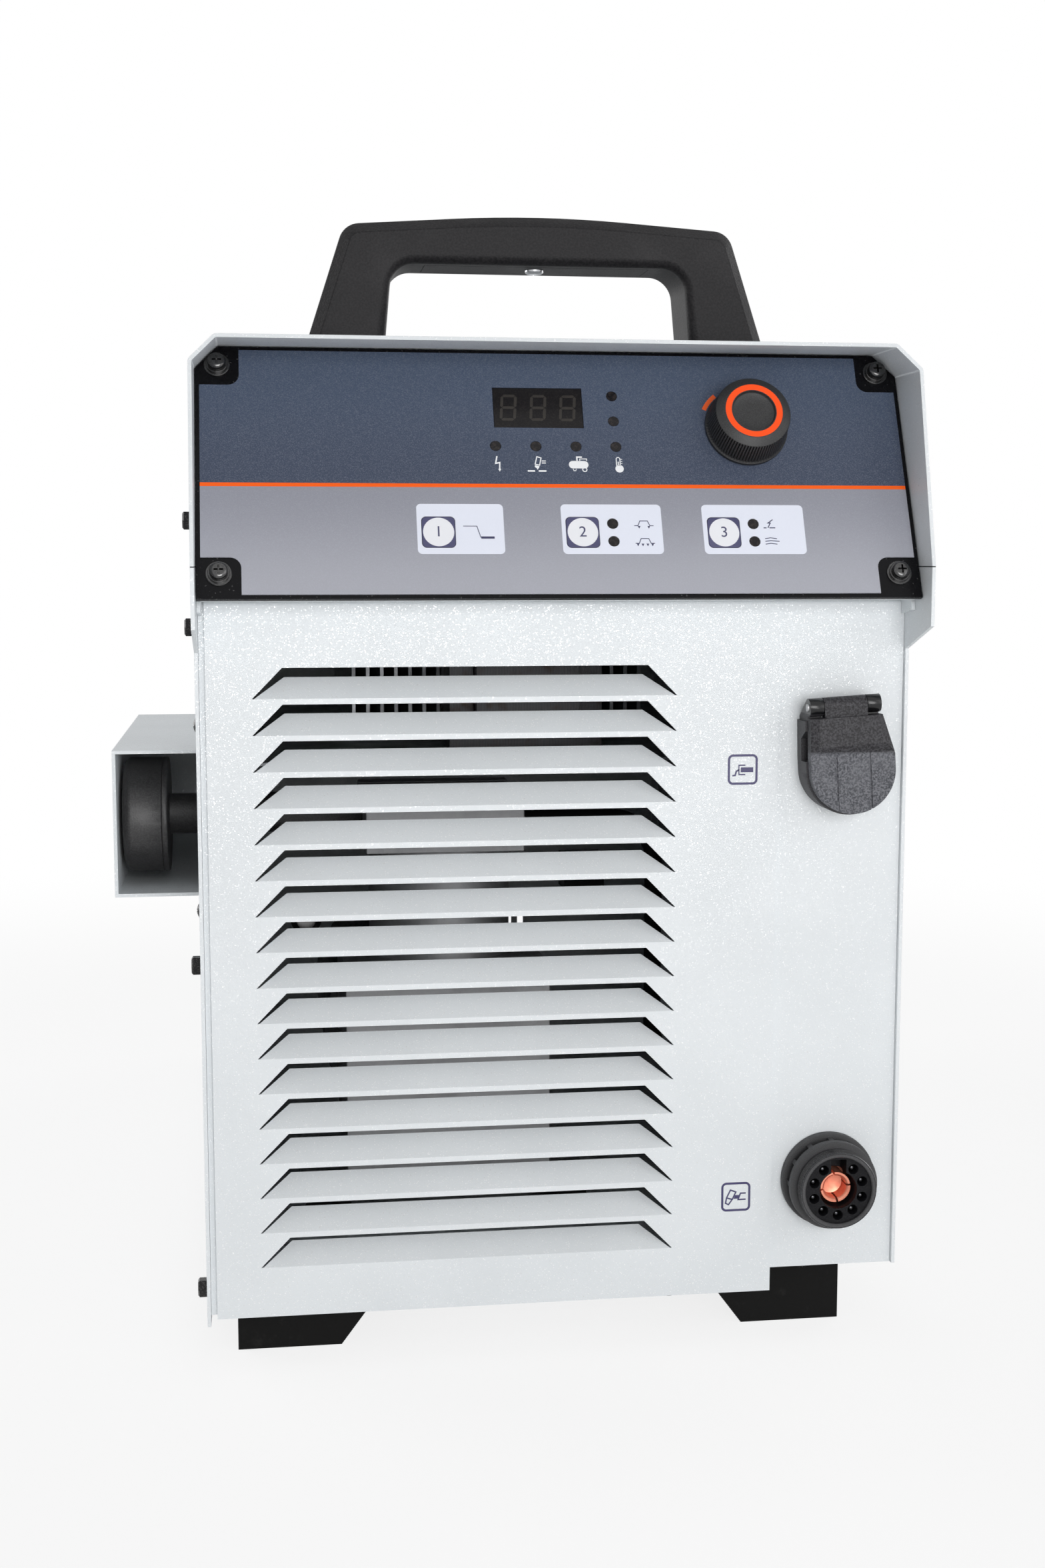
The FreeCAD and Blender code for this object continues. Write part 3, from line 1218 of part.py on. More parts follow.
def guard_screw_places():
    ys = (GUARD_FRONT + GUARD_SCREW_INSET, GUARD_FRONT + GUARD_LENGTH - GUARD_SCREW_INSET)
    rise = GUARD_HEIGHT / 2 + GUARD_SCREW_OUT
    return [facing_left(y, INTAKE_Z + side * rise, -HALF - SHEET) for y in ys for side in (-1, 1)]


def filter_guard():
    skin, wall = -HALF - SHEET, -HALF - GUARD_REACH
    high, low = INTAKE_Z + GUARD_HEIGHT / 2, INTAKE_Z - GUARD_HEIGHT / 2
    path = [(skin, low - GUARD_FLANGE), (skin, low), (wall, low), (wall, high), (skin, high),
            (skin, high + GUARD_FLANGE)]
    end = GUARD_FRONT + GUARD_LENGTH
    sheet = prism_y(bent_sheet(path), GUARD_FRONT, end)
    back = box(wall, skin - SHEET_GAP, end - SHEET, end, low, high)
    holes = [disc(M4_RADIUS + SCREW_CLEARANCE, -5, 5, place) for place in guard_screw_places()]
    return cut_all(joined([sheet, back]), holes)


def guard_screws():
    return group([dome_screw(place) for place in guard_screw_places()])


def filter_back():
    """Distance from the case's side to the near face of the filter's cover."""
    return GUARD_REACH - SHEET - FILTER_END_GAP - (FILTER_THICKNESS - FILTER_PLATE)


def filter_body():
    place = facing_left(INTAKE_Y, INTAKE_Z)
    plate = disc(FILTER_RADIUS, filter_back() - FILTER_PLATE, filter_back(), place)
    head_side = MOTOR_X - HEAD_WIDTH / 2
    pipe = disc(INTAKE_PIPE_RADIUS, -HALF - head_side, filter_back(), place)
    bore = disc(INTAKE_PIPE_BORE, -HALF - head_side - 1, filter_back() + 1, place)
    return joined([plate, pipe]).cut(bore)


def filter_cover():
    place = facing_left(INTAKE_Y, INTAKE_Z)
    end = filter_back() + FILTER_THICKNESS - FILTER_PLATE
    cup = disc(FILTER_RADIUS, filter_back(), end, place)
    outer_rim = min(cup.Edges, key=lambda edge: edge.BoundBox.XMax)
    cup = cup.makeFillet(FILTER_ROUNDING, [outer_rim])
    cup = cup.cut(disc(FILTER_RADIUS - FILTER_WALL, filter_back() - 1, end - FILTER_WALL, place))
    slot = box(FILTER_SLOT_START, FILTER_SLOT_END, -FILTER_SLOT_WIDTH / 2, FILTER_SLOT_WIDTH / 2,
               end - FILTER_WALL - 1, end + 1)
    slots = []
    for k in range(FILTER_SLOTS):
        turn = FreeCAD.Placement(vec(0, 0, 0), FreeCAD.Rotation(UP, 360.0 * k / FILTER_SLOTS))
        slots.append(placed(slot, place.multiply(turn)))
    return cut_all(cup, slots)


# Torch socket

def torch_place():
    return facing_front(TORCH_X, TORCH_Z)


def torch_nose_end():
    return TORCH_REAR_FLANGE + TORCH_RIB_SPACE + TORCH_FRONT_FLANGE + TORCH_NOSE_LENGTH


def torch_socket_body():
    flange = TORCH_REAR_FLANGE
    neck = flange + TORCH_RIB_SPACE
    shoulder = neck + TORCH_FRONT_FLANGE
    end = torch_nose_end()
    nose, inside = TORCH_NOSE_RADIUS, TORCH_INSERT_RADIUS
    rear, front = TORCH_REAR_FLANGE_RADIUS, TORCH_FRONT_FLANGE_RADIUS
    profile = [(inside, -TORCH_BARREL), (nose, -TORCH_BARREL), (nose, 0), (rear, 0), (rear, flange),
               (TORCH_CORE_RADIUS, flange), (TORCH_CORE_RADIUS, neck), (front, neck), (front, shoulder),
               (nose, shoulder), (nose, end), (inside, end)]
    ribs = []
    for k in range(TORCH_RIBS):
        turn = FreeCAD.Placement(vec(0, 0, 0), FreeCAD.Rotation(UP, 360.0 * k / TORCH_RIBS))
        rib = box(TORCH_CORE_RADIUS - 1, TORCH_RIB_RADIUS, -TORCH_RIB_WIDTH / 2, TORCH_RIB_WIDTH / 2,
                  flange, neck)
        ribs.append(placed(rib, torch_place().multiply(turn)))
    return joined([turned(profile, torch_place())] + ribs)


def torch_socket_insert():
    face = torch_nose_end() - TORCH_INSERT_SINK
    place = torch_place()
    plug = tube(TORCH_INSERT_RADIUS, TORCH_INSERT_BORE, -TORCH_INSERT_BACK, face, place)
    step = 360.0 / TORCH_PIN_POSITIONS
    holes = []
    for k in range(1, TORCH_PIN_POSITIONS):
        angle = math.radians(90 + step * k)
        bottom = vec(TORCH_PIN_CIRCLE * math.cos(angle), TORCH_PIN_CIRCLE * math.sin(angle),
                     face - TORCH_PIN_DEPTH)
        hole = Part.makeCylinder(TORCH_PIN_RADIUS, TORCH_PIN_DEPTH + 1, bottom)
        holes.append(placed(hole, place))
    notch = placed(box(-TORCH_KEY_WIDTH / 2, TORCH_KEY_WIDTH / 2, 0, TORCH_KEY_RADIUS, face - TORCH_KEY_DEPTH,
                       face + 1), place)
    return cut_all(plug, holes + [notch])


def torch_socket_contact():
    face = torch_nose_end() - TORCH_INSERT_SINK - TORCH_CONTACT_SINK
    place = torch_place()
    outer, root, bore = TORCH_CONTACT_OUTER, TORCH_CONTACT_ROOT, TORCH_CONTACT_BORE
    step = face - TORCH_CONTACT_SLOT_DEPTH - TORCH_CONTACT_SLOT
    sleeve = turned([(bore, -TORCH_CONTACT_BACK), (root, -TORCH_CONTACT_BACK), (root, step), (outer, step),
                     (outer, face), (bore + TORCH_CONTACT_LEAD_IN, face),
                     (bore, face - TORCH_CONTACT_LEAD_IN)], place)
    slot = slab(3 * TORCH_CONTACT_OUTER, TORCH_CONTACT_SLOT, face - TORCH_CONTACT_SLOT_DEPTH, face + 1)
    slots = []
    for angle in (TORCH_CONTACT_SLOT_TURN, TORCH_CONTACT_SLOT_TURN + 90):
        turn = FreeCAD.Placement(vec(0, 0, 0), FreeCAD.Rotation(UP, angle))
        slots.append(placed(slot, place.multiply(turn)))
    return cut_all(sleeve, slots)


def torch_socket_nut():
    nut = hexagon(TORCH_NUT_ACROSS_FLATS, -SHEET - TORCH_NUT_THICKNESS, -SHEET, torch_place())
    return nut.cut(disc(TORCH_NOSE_RADIUS, -BIG / 2, 0, torch_place()))


# Work socket

def work_place():
    turn = FreeCAD.Placement(vec(0, 0, 0), FreeCAD.Rotation(UP, WORK_TURN))
    return facing_front(WORK_X, WORK_Z).multiply(turn)


def hinge_height():
    """How far the hinge pin stands out from the front sheet."""
    return WORK_DEPTH + LID_GAP + HINGE_OUT


def across_disc(radius, start, end, up, out):
    """Cylinder along the lid's hinge, at a height above the work socket's centre and out from the sheet."""
    shape = Part.makeCylinder(radius, end - start, vec(HINGE_SHIFT + start, up, out), RIGHT)
    return placed(shape, work_place())


def work_outline(radius, top_width, top, shoulder):
    """Round below, with sides that draw in to a narrower top under the hinge."""
    left, right = HINGE_SHIFT - top_width / 2, HINGE_SHIFT + top_width / 2
    below = [vec(-radius, 0, 0), vec(0, -radius, 0), vec(radius, 0, 0)]
    edges = [Part.Arc(*below).toShape()]
    above = [vec(radius, 0, 0), vec(radius, shoulder, 0), vec(right, top, 0), vec(left, top, 0),
             vec(-radius, shoulder, 0), vec(-radius, 0, 0)]
    edges += [Part.LineSegment(start, end).toShape() for start, end in zip(above, above[1:])]
    return Part.Face(Part.Wire(edges))


def work_socket_body():
    place = work_place()
    top_width = HINGE_KNUCKLE + 2 * (HINGE_SIDE_GAP + HINGE_EAR + WORK_EAR_STEP)
    shape = work_outline(WORK_RADIUS, top_width, WORK_TOP, LID_SHOULDER)
    block = placed(shape.extrude(vec(0, 0, WORK_DEPTH)), place)
    out = hinge_height()
    ears = []
    for side in (-1, 1):
        inner = side * (HINGE_KNUCKLE / 2 + HINGE_SIDE_GAP)
        outer = inner + side * HINGE_EAR
        web = [(WORK_TOP - EAR_ROOT, 0), (WORK_TOP + EAR_FOOT, 0),
               (HINGE_RISE + EAR_SLOPE_RISE, out - EAR_SLOPE_DROP), (HINGE_RISE, out),
               (LID_TOP + EAR_LID_GAP, WORK_DEPTH), (WORK_TOP - EAR_ROOT, WORK_DEPTH)]
        low, high = min(inner, outer), max(inner, outer)
        ears.append(placed(extruded(web, lambda up, w: vec(HINGE_SHIFT + low, up, w), vec(high - low, 0, 0)),
                           place))
        ears.append(across_disc(HINGE_RADIUS, low, high, HINGE_RISE, out))
    barrel = disc(WORK_BARREL_RADIUS, -WORK_BARREL, 0, place)
    mouth = disc(WORK_MOUTH_RADIUS, -WORK_MOUTH_DEPTH, BIG / 2, place)
    seat = disc(WORK_CONTACT_OUTER, -BIG / 2, 0, place)
    pin = across_disc(HINGE_PIN_RADIUS, -BIG / 4, BIG / 4, HINGE_RISE, out)
    windows = []
    window = [(WORK_WINDOW_LOW, WORK_WINDOW_FLOOR), (WORK_WINDOW_HIGH, WORK_WINDOW_FLOOR),
              (WORK_WINDOW_HIGH + WORK_WINDOW_RISE, WORK_DEPTH), (WORK_WINDOW_HIGH + WORK_WINDOW_RISE, BIG),
              (WORK_WINDOW_LOW, BIG)]
    for side in (-1, 1):
        inner = side * (WORK_RADIUS - WORK_WINDOW_DEPTH)
        opening = extruded(window, lambda up, w: vec(inner, up, w), vec(side * BIG, 0, 0))
        windows.append(placed(opening, place))
    return cut_all(joined([block, barrel] + ears), [mouth, seat, pin] + windows)


def work_socket_contact():
    return tube(WORK_CONTACT_OUTER, WORK_CONTACT_BORE, -WORK_CONTACT_BACK, WORK_CONTACT_FRONT, work_place())


def lid_side_cut(side, foot_level, crest):
    """Wedge that bevels one long side of the block on the lid, which narrows towards the hinge."""
    high = crest + LID_CUT_MARGIN

    def section(middle, half_width, up):
        foot = vec(middle + side * (half_width + LID_CUT_MARGIN), up, foot_level)
        return Part.makePolygon([foot, vec(middle + side * (half_width - LID_BLOCK_BEVEL), up, high),
                                 vec(side * BIG, up, high), foot])

    ends = [section(0, LID_RADIUS, LID_SHOULDER),
            section(HINGE_SHIFT, LID_TOP_WIDTH / 2, LID_TOP + LID_CUT_MARGIN)]
    return Part.makeLoft(ends, True, True)


def work_socket_lid():
    place = work_place()
    inner_face = WORK_DEPTH + LID_GAP
    outer_face = inner_face + LID_THICKNESS
    shape = work_outline(LID_RADIUS, LID_TOP_WIDTH, LID_TOP, LID_SHOULDER)
    plate = placed(placed(shape, facing_up(0, 0, inner_face)).extrude(vec(0, 0, LID_THICKNESS)), place)
    crest = outer_face + LID_BLOCK
    raised = [(LID_BLOCK_LOW, outer_face - 1), (LID_BLOCK_LOW, outer_face),
              (LID_BLOCK_LOW + LID_BLOCK_SLANT, crest), (LID_TOP, crest), (LID_TOP, outer_face - 1)]
    block = extruded(raised, lambda up, out: vec(-LID_RADIUS, up, out), vec(2 * LID_RADIUS, 0, 0))
    outline = placed(shape, facing_up(0, 0, outer_face - 1)).extrude(vec(0, 0, LID_BLOCK + 1))
    block = cut_all(block, [lid_side_cut(side, outer_face, crest) for side in (-1, 1)]).common(outline)
    half = HINGE_KNUCKLE / 2
    tab = box(HINGE_SHIFT - half, HINGE_SHIFT + half, LID_TOP - LID_TAB_DEPTH, HINGE_RISE,
              hinge_height() - LID_TAB_SINK, outer_face)
    knuckle = across_disc(HINGE_RADIUS, -half, half, HINGE_RISE, hinge_height())
    grooves = []
    for side in (-1, 1):
        middle = side * LID_GROOVE_SPACING / 2
        grooves.append(placed(box(middle - LID_GROOVE_WIDTH / 2, middle + LID_GROOVE_WIDTH / 2, -BIG / 4,
                                  LID_BLOCK_LOW, outer_face - LID_GROOVE_DEPTH, outer_face + 1), place))
    out = hinge_height()
    pin = across_disc(HINGE_PIN_RADIUS + RUNNING_GAP, -BIG / 4, BIG / 4, HINGE_RISE, out)
    spring_half = SPRING_LENGTH / 2 + SPRING_GAP
    spring_room = across_disc(SPRING_RADIUS + SPRING_GAP, -spring_half, spring_half, HINGE_RISE, out)
    slot_half = SPRING_SLOT_HEIGHT / 2
    spring_slot = placed(box(HINGE_SHIFT - spring_half, HINGE_SHIFT + spring_half, HINGE_RISE - slot_half,
                             HINGE_RISE + slot_half, out - HINGE_RADIUS - 1, out), place)
    whole = joined([plate, placed(block, place), placed(tab, place), knuckle])
    return cut_all(whole, grooves + [pin, spring_room, spring_slot])


def lid_hinge_pin():
    half = HINGE_KNUCKLE / 2 + HINGE_SIDE_GAP + HINGE_EAR + HINGE_PIN_PROUD
    return across_disc(HINGE_PIN_RADIUS, -half, half, HINGE_RISE, hinge_height())


def lid_spring():
    half, out = SPRING_LENGTH / 2, hinge_height()
    sleeve = across_disc(SPRING_RADIUS, -half, half, HINGE_RISE, out)
    return sleeve.cut(across_disc(HINGE_PIN_RADIUS + RUNNING_GAP, -BIG / 4, BIG / 4, HINGE_RISE, out))


# Rear

def fan_place():
    """On the inner face of the rear sheet, looking out of the back."""
    return facing_rear(0, FAN_Z, REAR_INNER)


def fan_screw_places():
    spread = FAN_SCREW_SPACING / 2
    out = REAR_FACE + GRILLE_EYE_THICKNESS
    return [facing_rear(a, FAN_Z + b, out) for a in (-spread, spread) for b in (-spread, spread)]


def fan_frame():
    place = fan_place()
    back = -FAN_THICKNESS
    shell = rounded_slab(FAN_SIZE, FAN_SIZE, FAN_CORNER_RADIUS, back, 0, place)
    shell = shell.cut(disc(FAN_BORE_RADIUS, back - 1, 1, place))
    base = disc(FAN_HUB_RADIUS, back, back + FAN_BASE_THICKNESS, place)
    struts = []
    for k in range(4):
        turn = FreeCAD.Placement(vec(0, 0, 0), FreeCAD.Rotation(UP, 45 + 90 * k))
        strut = box(0, FAN_BORE_RADIUS + 2, -FAN_STRUT_WIDTH / 2, FAN_STRUT_WIDTH / 2, back,
                    back + FAN_BASE_THICKNESS)
        struts.append(placed(strut, place.multiply(turn)))
    whole = joined([shell, base] + struts)
    bearing = disc(FAN_SHAFT_RADIUS + RUNNING_GAP, back + FAN_BEARING_FLOOR, 1, place)
    screws = [disc(M4_RADIUS, -FAN_THICKNESS - 5, 5, spot) for spot in fan_screw_places()]
    return cut_all(whole, [bearing] + screws)


def fan_rotor():
    place = fan_place()
    low = -FAN_THICKNESS + FAN_BASE_THICKNESS + FAN_END_GAP
    high = low + FAN_HUB_LENGTH
    hub = disc(FAN_HUB_RADIUS, low, high, place)
    shaft = disc(FAN_SHAFT_RADIUS, -FAN_THICKNESS + FAN_BEARING_FLOOR + FAN_END_GAP, low, place)
    middle = (low + high) / 2
    blades = []
    for k in range(FAN_BLADES):
        blade = box(FAN_HUB_RADIUS - 2, FAN_BLADE_RADIUS + 5, -FAN_BLADE_CHORD / 2, FAN_BLADE_CHORD / 2,
                    -FAN_BLADE_THICKNESS / 2, FAN_BLADE_THICKNESS / 2)
        blade.rotate(vec(0, 0, 0), RIGHT, FAN_BLADE_PITCH)
        turn = FreeCAD.Placement(vec(0, 0, middle), FreeCAD.Rotation(UP, 360.0 * k / FAN_BLADES))
        blades.append(placed(blade, place.multiply(turn)))
    sweep = disc(FAN_BLADE_RADIUS, low, high, place)
    return joined([hub, shaft] + [blade.common(sweep) for blade in blades])


def fan_guard():
    place = facing_rear(0, FAN_Z, REAR_FACE + GRILLE_EYE_THICKNESS / 2)
    step = (FAN_BORE_RADIUS - GRILLE_HUB_RADIUS) / (GRILLE_RINGS - 1)
    middle = vec(0, 0, GRILLE_RING_RISE)
    wires = [placed(Part.makeTorus(GRILLE_HUB_RADIUS + step * k, WIRE_RADIUS, middle), place)
             for k in range(GRILLE_RINGS)]
    reach = FAN_SCREW_SPACING / math.sqrt(2)
    for k in range(4):
        turn = place.multiply(FreeCAD.Placement(vec(0, 0, 0), FreeCAD.Rotation(UP, 45 + 90 * k)))
        spoke = Part.makeCylinder(WIRE_RADIUS, reach - GRILLE_HUB_RADIUS, vec(GRILLE_HUB_RADIUS, 0, 0), RIGHT)
        wires.append(placed(spoke, turn))
        eye = Part.makeCylinder(GRILLE_EYE_RADIUS, GRILLE_EYE_THICKNESS,
                                vec(reach, 0, -GRILLE_EYE_THICKNESS / 2))
        wires.append(placed(eye, turn))
    whole = wires[0].multiFuse(wires[1:])
    return cut_all(whole, [disc(M4_RADIUS + SCREW_CLEARANCE, -20, 20, spot) for spot in fan_screw_places()])


def fan_screws():
    length = GRILLE_EYE_THICKNESS + SHEET + FAN_THICKNESS / 2
    return group([pan_screw(spot, M4_RADIUS, length) for spot in fan_screw_places()])


def switch_place():
    return facing_rear(SWITCH_X, SWITCH_Z)


def rocker_axis_out():
    return SWITCH_BEZEL - ROCKER_SINK


def rocker_disc(radius, half_width):
    shape = Part.makeCylinder(radius, 2 * half_width, vec(-half_width, 0, rocker_axis_out()), RIGHT)
    return placed(shape, switch_place())


def power_switch_body():
    place = switch_place()
    bezel = rounded_slab(SWITCH_BEZEL_WIDTH, SWITCH_BEZEL_HEIGHT, SWITCH_BEZEL_RADIUS, 0, SWITCH_BEZEL,
                         place)
    body = slab(SWITCH_BODY_WIDTH, SWITCH_BODY_HEIGHT, -SWITCH_BODY_DEPTH, 0, place)
    return joined([bezel, body]).cut(rocker_disc(ROCKER_RADIUS + ROCKER_GAP, ROCKER_WIDTH / 2 + ROCKER_GAP))


def power_switch_rocker():
    middle = rocker_axis_out() + ROCKER_RISE
    reach = ROCKER_RADIUS + 1
    edge = middle + reach * math.tan(math.radians(ROCKER_DISH))
    front = [(-reach, BIG), (-reach, edge), (0, middle), (reach, edge), (reach, BIG)]
    tool = extruded(front, lambda up, out: vec(-BIG / 4, up, out), vec(BIG / 2, 0, 0))
    rocker = rocker_disc(ROCKER_RADIUS, ROCKER_WIDTH / 2).cut(placed(tool, switch_place()))
    axis = switch_place().multVec(vec(0, 0, rocker_axis_out()))
    rocker.rotate(axis, RIGHT, -ROCKER_THROW / 2)
    return rocker


def cable_gland():
    place = facing_rear(GLAND_X, GLAND_Z)
    cap_end = GLAND_HEX_HEIGHT + GLAND_CAP_LENGTH
    thread = GLAND_THREAD_RADIUS
    cap = turned([(0, -GLAND_THREAD_LENGTH), (thread, -GLAND_THREAD_LENGTH), (thread, 0),
                  (GLAND_CAP_RADIUS, 0), (GLAND_CAP_RADIUS, cap_end - GLAND_TAPER),
                  (GLAND_CAP_RADIUS - GLAND_TAPER_INSET, cap_end),
                  (0, cap_end)], place)
    collar = hexagon(GLAND_HEX_ACROSS_FLATS, 0, GLAND_HEX_HEIGHT, place)
    return joined([cap, collar]).cut(disc(GLAND_BORE, -BIG / 4, BIG / 4, place))


# Shelf and electronics

def shelf_bridge():
    half = SHELF_HALF
    path = [(half - SHELF_FOOT, FLOOR), (half, FLOOR), (half, SHELF), (-half, SHELF), (-half, FLOOR),
            (-half + SHELF_FOOT, FLOOR)]
    outline = bent_sheet([(-x, z) for x, z in path])
    sheet = prism_y(outline, SHELF_FRONT, SHELF_REAR)
    pipe = disc(INTAKE_PIPE_RADIUS + PIPE_CLEARANCE, -30, 0, facing_left(INTAKE_Y, INTAKE_Z))
    reach = VALVE_WIDTH / 2 + VALVE_CLEARANCE
    valve = box(TORCH_X - reach, TORCH_X + reach, INTAKE_Y - reach, INTAKE_Y + reach, FLOOR - 1,
                FLOOR + 2 * SHEET)
    return cut_all(sheet, [pipe, valve])


def heat_sinks():
    pitch = (SINK_WIDTH - SINK_FIN) / (SINK_FINS - 1)
    left = SINK_GAP / 2
    top = SHELF + SINK_HEIGHT
    back = SINK_FRONT + SINK_LENGTH
    plates = [box(left, left + SINK_WIDTH, SINK_FRONT, back, top - SINK_BASE, top)]
    for k in range(SINK_FINS):
        edge = left + pitch * k
        plates.append(box(edge, edge + SINK_FIN, SINK_FRONT, back, SHELF, top - SINK_BASE))
    sink = joined(plates)
    return group([sink, mirrored(sink)])


def module_points():
    """Where the power modules stand on the heat sinks."""
    across = SINK_GAP / 2 + SINK_WIDTH / 2
    return [(side * across, SINK_FRONT + SINK_LENGTH * share) for side in (-1, 1) for share in MODULE_SHARES]


def power_modules():
    top = SHELF + SINK_HEIGHT
    return [slab(MODULE_WIDTH, MODULE_LENGTH, top, top + MODULE_HEIGHT, facing_up(x, y, 0))
            for x, y in module_points()]


def power_board_top():
    return SHELF + SINK_HEIGHT + MODULE_HEIGHT + BOARD_THICKNESS


def power_board():
    """Board that stands on the power modules soldered under it."""
    across = SINK_GAP / 2 + SINK_WIDTH
    board = box(-across, across, SINK_FRONT, SINK_FRONT + SINK_LENGTH, power_board_top() - BOARD_THICKNESS,
                power_board_top())
    return joined([board] + power_modules())


def capacitors():
    top = power_board_top()
    return group([disc(CAPACITOR_RADIUS, top, top + CAPACITOR_HEIGHT, facing_up(x, y, 0))
                  for x, y in module_points()])


def transformer():
    half, leg = CORE_WIDTH / 2, CORE_LEG
    back, top = CORE_FRONT + CORE_DEPTH, SHELF + CORE_HEIGHT
    core = box(-half, half, CORE_FRONT, back, SHELF, top)
    room = box(leg, half - leg, CORE_FRONT - 1, back + 1, SHELF + leg, top - leg)
    core = cut_all(core, [room, mirrored(room)])
    reach = half - leg - COIL_GAP
    coil = box(-reach, reach, CORE_FRONT - COIL_BULGE, back + COIL_BULGE, SHELF + leg + COIL_GAP,
               top - leg - COIL_GAP)
    hole = box(-leg - COIL_GAP, leg + COIL_GAP, CORE_FRONT - COIL_GAP, back + COIL_GAP, SHELF, top)
    return group([core, coil.cut(hole)])


# Compressor and air line

def shaft_place():
    """On the compressor's shaft line, looking to the back, with its zero under the cylinder's middle."""
    return facing_rear(MOTOR_X, MOTOR_Z, INTAKE_Y)


def mount_points():
    across = CRANKCASE_WIDTH / 2 + MOUNT_OVERHANG
    return [(MOTOR_X + side * across, y) for side in (-1, 1)
            for y in (CRANK_FRONT + MOUNT_INSET, CRANK_REAR - MOUNT_INSET)]


def compressor_mounts():
    return group([disc(MOUNT_RADIUS, FLOOR, FLOOR + MOUNT_HEIGHT, facing_up(x, y, 0))
                  for x, y in mount_points()])


def compressor_crankcase():
    half, wall = CRANKCASE_WIDTH / 2, CRANKCASE_WALL
    shell = box(MOTOR_X - half, MOTOR_X + half, CRANK_FRONT, CRANK_REAR, CRANK_BOTTOM, CRANK_TOP)
    foot = box(MOTOR_X - half - 2 * MOUNT_RADIUS, MOTOR_X + half + 2 * MOUNT_RADIUS, CRANK_FRONT, CRANK_REAR,
               CRANK_BOTTOM - CRANKCASE_FOOT, CRANK_BOTTOM)
    barrel = disc(CYLINDER_RADIUS, CRANK_TOP - 1, HEAD_BOTTOM, facing_up(MOTOR_X, INTAKE_Y, 0))
    hollow = box(MOTOR_X - half + wall, MOTOR_X + half - wall, CRANK_FRONT + wall, CRANK_REAR - wall,
                 CRANK_BOTTOM + wall, CRANK_TOP - wall)
    bore = disc(CYLINDER_BORE, CRANK_TOP - wall - 1, HEAD_BOTTOM + 1, facing_up(MOTOR_X, INTAKE_Y, 0))
    bearing = disc(SHAFT_RADIUS + RUNNING_GAP, 0, CRANKCASE_LENGTH, shaft_place())
    return cut_all(joined([shell, foot, barrel]), [hollow, bore, bearing])


def compressor_head():
    half = HEAD_WIDTH / 2
    block = box(MOTOR_X - half, MOTOR_X + half, INTAKE_Y - half, INTAKE_Y + half, HEAD_BOTTOM, HEAD_TOP)
    starts = [INTAKE_Y - half + HEAD_GROOVE_PITCH * k for k in range(1, HEAD_GROOVES + 1)]
    return cut_all(block, [box(MOTOR_X - half - 1, MOTOR_X + half + 1, start, start + HEAD_GROOVE_WIDTH,
                               HEAD_TOP - HEAD_GROOVE_DEPTH, HEAD_TOP + 1) for start in starts])


def compressor_piston():
    """Piston and rod. The big end is opened wide enough for the crank to turn in it."""
    ring_bore = CRANK_RADIUS + CRANK_THROW + CRANK_CLEARANCE
    half = CRANK_LENGTH / 2 - 1
    top = HEAD_BOTTOM - PISTON_TOP_DROP
    up = facing_up(MOTOR_X, INTAKE_Y, 0)
    piston = disc(CYLINDER_BORE - PISTON_CLEARANCE, top - PISTON_THICKNESS, top, up)
    rod = box(MOTOR_X - ROD_WIDTH / 2, MOTOR_X + ROD_WIDTH / 2, INTAKE_Y - half, INTAKE_Y + half,
              MOTOR_Z + ring_bore, top - PISTON_THICKNESS + 1)
    ring = disc(ring_bore + ROD_RING_WALL, -half, half, shaft_place())
    return joined([piston, rod, ring]).cut(disc(ring_bore, -BIG / 4, BIG / 4, shaft_place()))


def motor_front():
    """Distance along the shaft from the cylinder's middle to the motor."""
    return CRANKCASE_LENGTH / 2


def compressor_motor():
    place = shaft_place()
    low, high = motor_front(), motor_front() + MOTOR_LENGTH
    shell = disc(MOTOR_RADIUS, low, high, place)
    hollow = disc(MOTOR_RADIUS - MOTOR_WALL, low + MOTOR_WALL, high - MOTOR_WALL, place)
    bearing = disc(SHAFT_RADIUS + RUNNING_GAP, low - 1, high + 1, place)
    return cut_all(shell, [hollow, bearing])


def compressor_shaft():
    place = shaft_place()
    low, high = motor_front() + ROTOR_GAP, motor_front() + MOTOR_LENGTH - ROTOR_GAP
    end = motor_front() + MOTOR_LENGTH + BLOWER_GAP + BLOWER_THICKNESS
    shaft = disc(SHAFT_RADIUS, -CRANK_LENGTH / 2, end, place)
    rotor = disc(ROTOR_RADIUS, low, high, place)
    crank = disc(CRANK_RADIUS, -CRANK_LENGTH / 2, CRANK_LENGTH / 2, place)
    crank.translate(vec(0, 0, -CRANK_THROW))
    return joined([shaft, rotor, crank])


def compressor_blower():
    place = shaft_place()
    low = motor_front() + MOTOR_LENGTH + BLOWER_GAP
    hub = tube(BLOWER_HUB_RADIUS, SHAFT_RADIUS, low, low + BLOWER_THICKNESS, place)
    blades = []
    for k in range(BLOWER_BLADES):
        turn = FreeCAD.Placement(vec(0, 0, 0), FreeCAD.Rotation(UP, 360.0 * k / BLOWER_BLADES))
        blade = box(BLOWER_BLADE_ROOT, BLOWER_RADIUS, -BLOWER_BLADE / 2, BLOWER_BLADE / 2, low,
                    low + BLOWER_THICKNESS)
        blades.append(placed(blade, place.multiply(turn)))
    return joined([hub] + blades)


def valve_front():
    return INTAKE_Y - VALVE_WIDTH / 2


def solenoid_valve():
    half = VALVE_WIDTH / 2
    body = box(TORCH_X - half, TORCH_X + half, valve_front(), valve_front() + VALVE_WIDTH, FLOOR,
               FLOOR + VALVE_HEIGHT)
    coil = disc(VALVE_COIL_RADIUS, FLOOR + VALVE_HEIGHT - 1, FLOOR + VALVE_HEIGHT + VALVE_COIL_HEIGHT,
                facing_up(TORCH_X, INTAKE_Y, 0))
    return joined([body, coil])


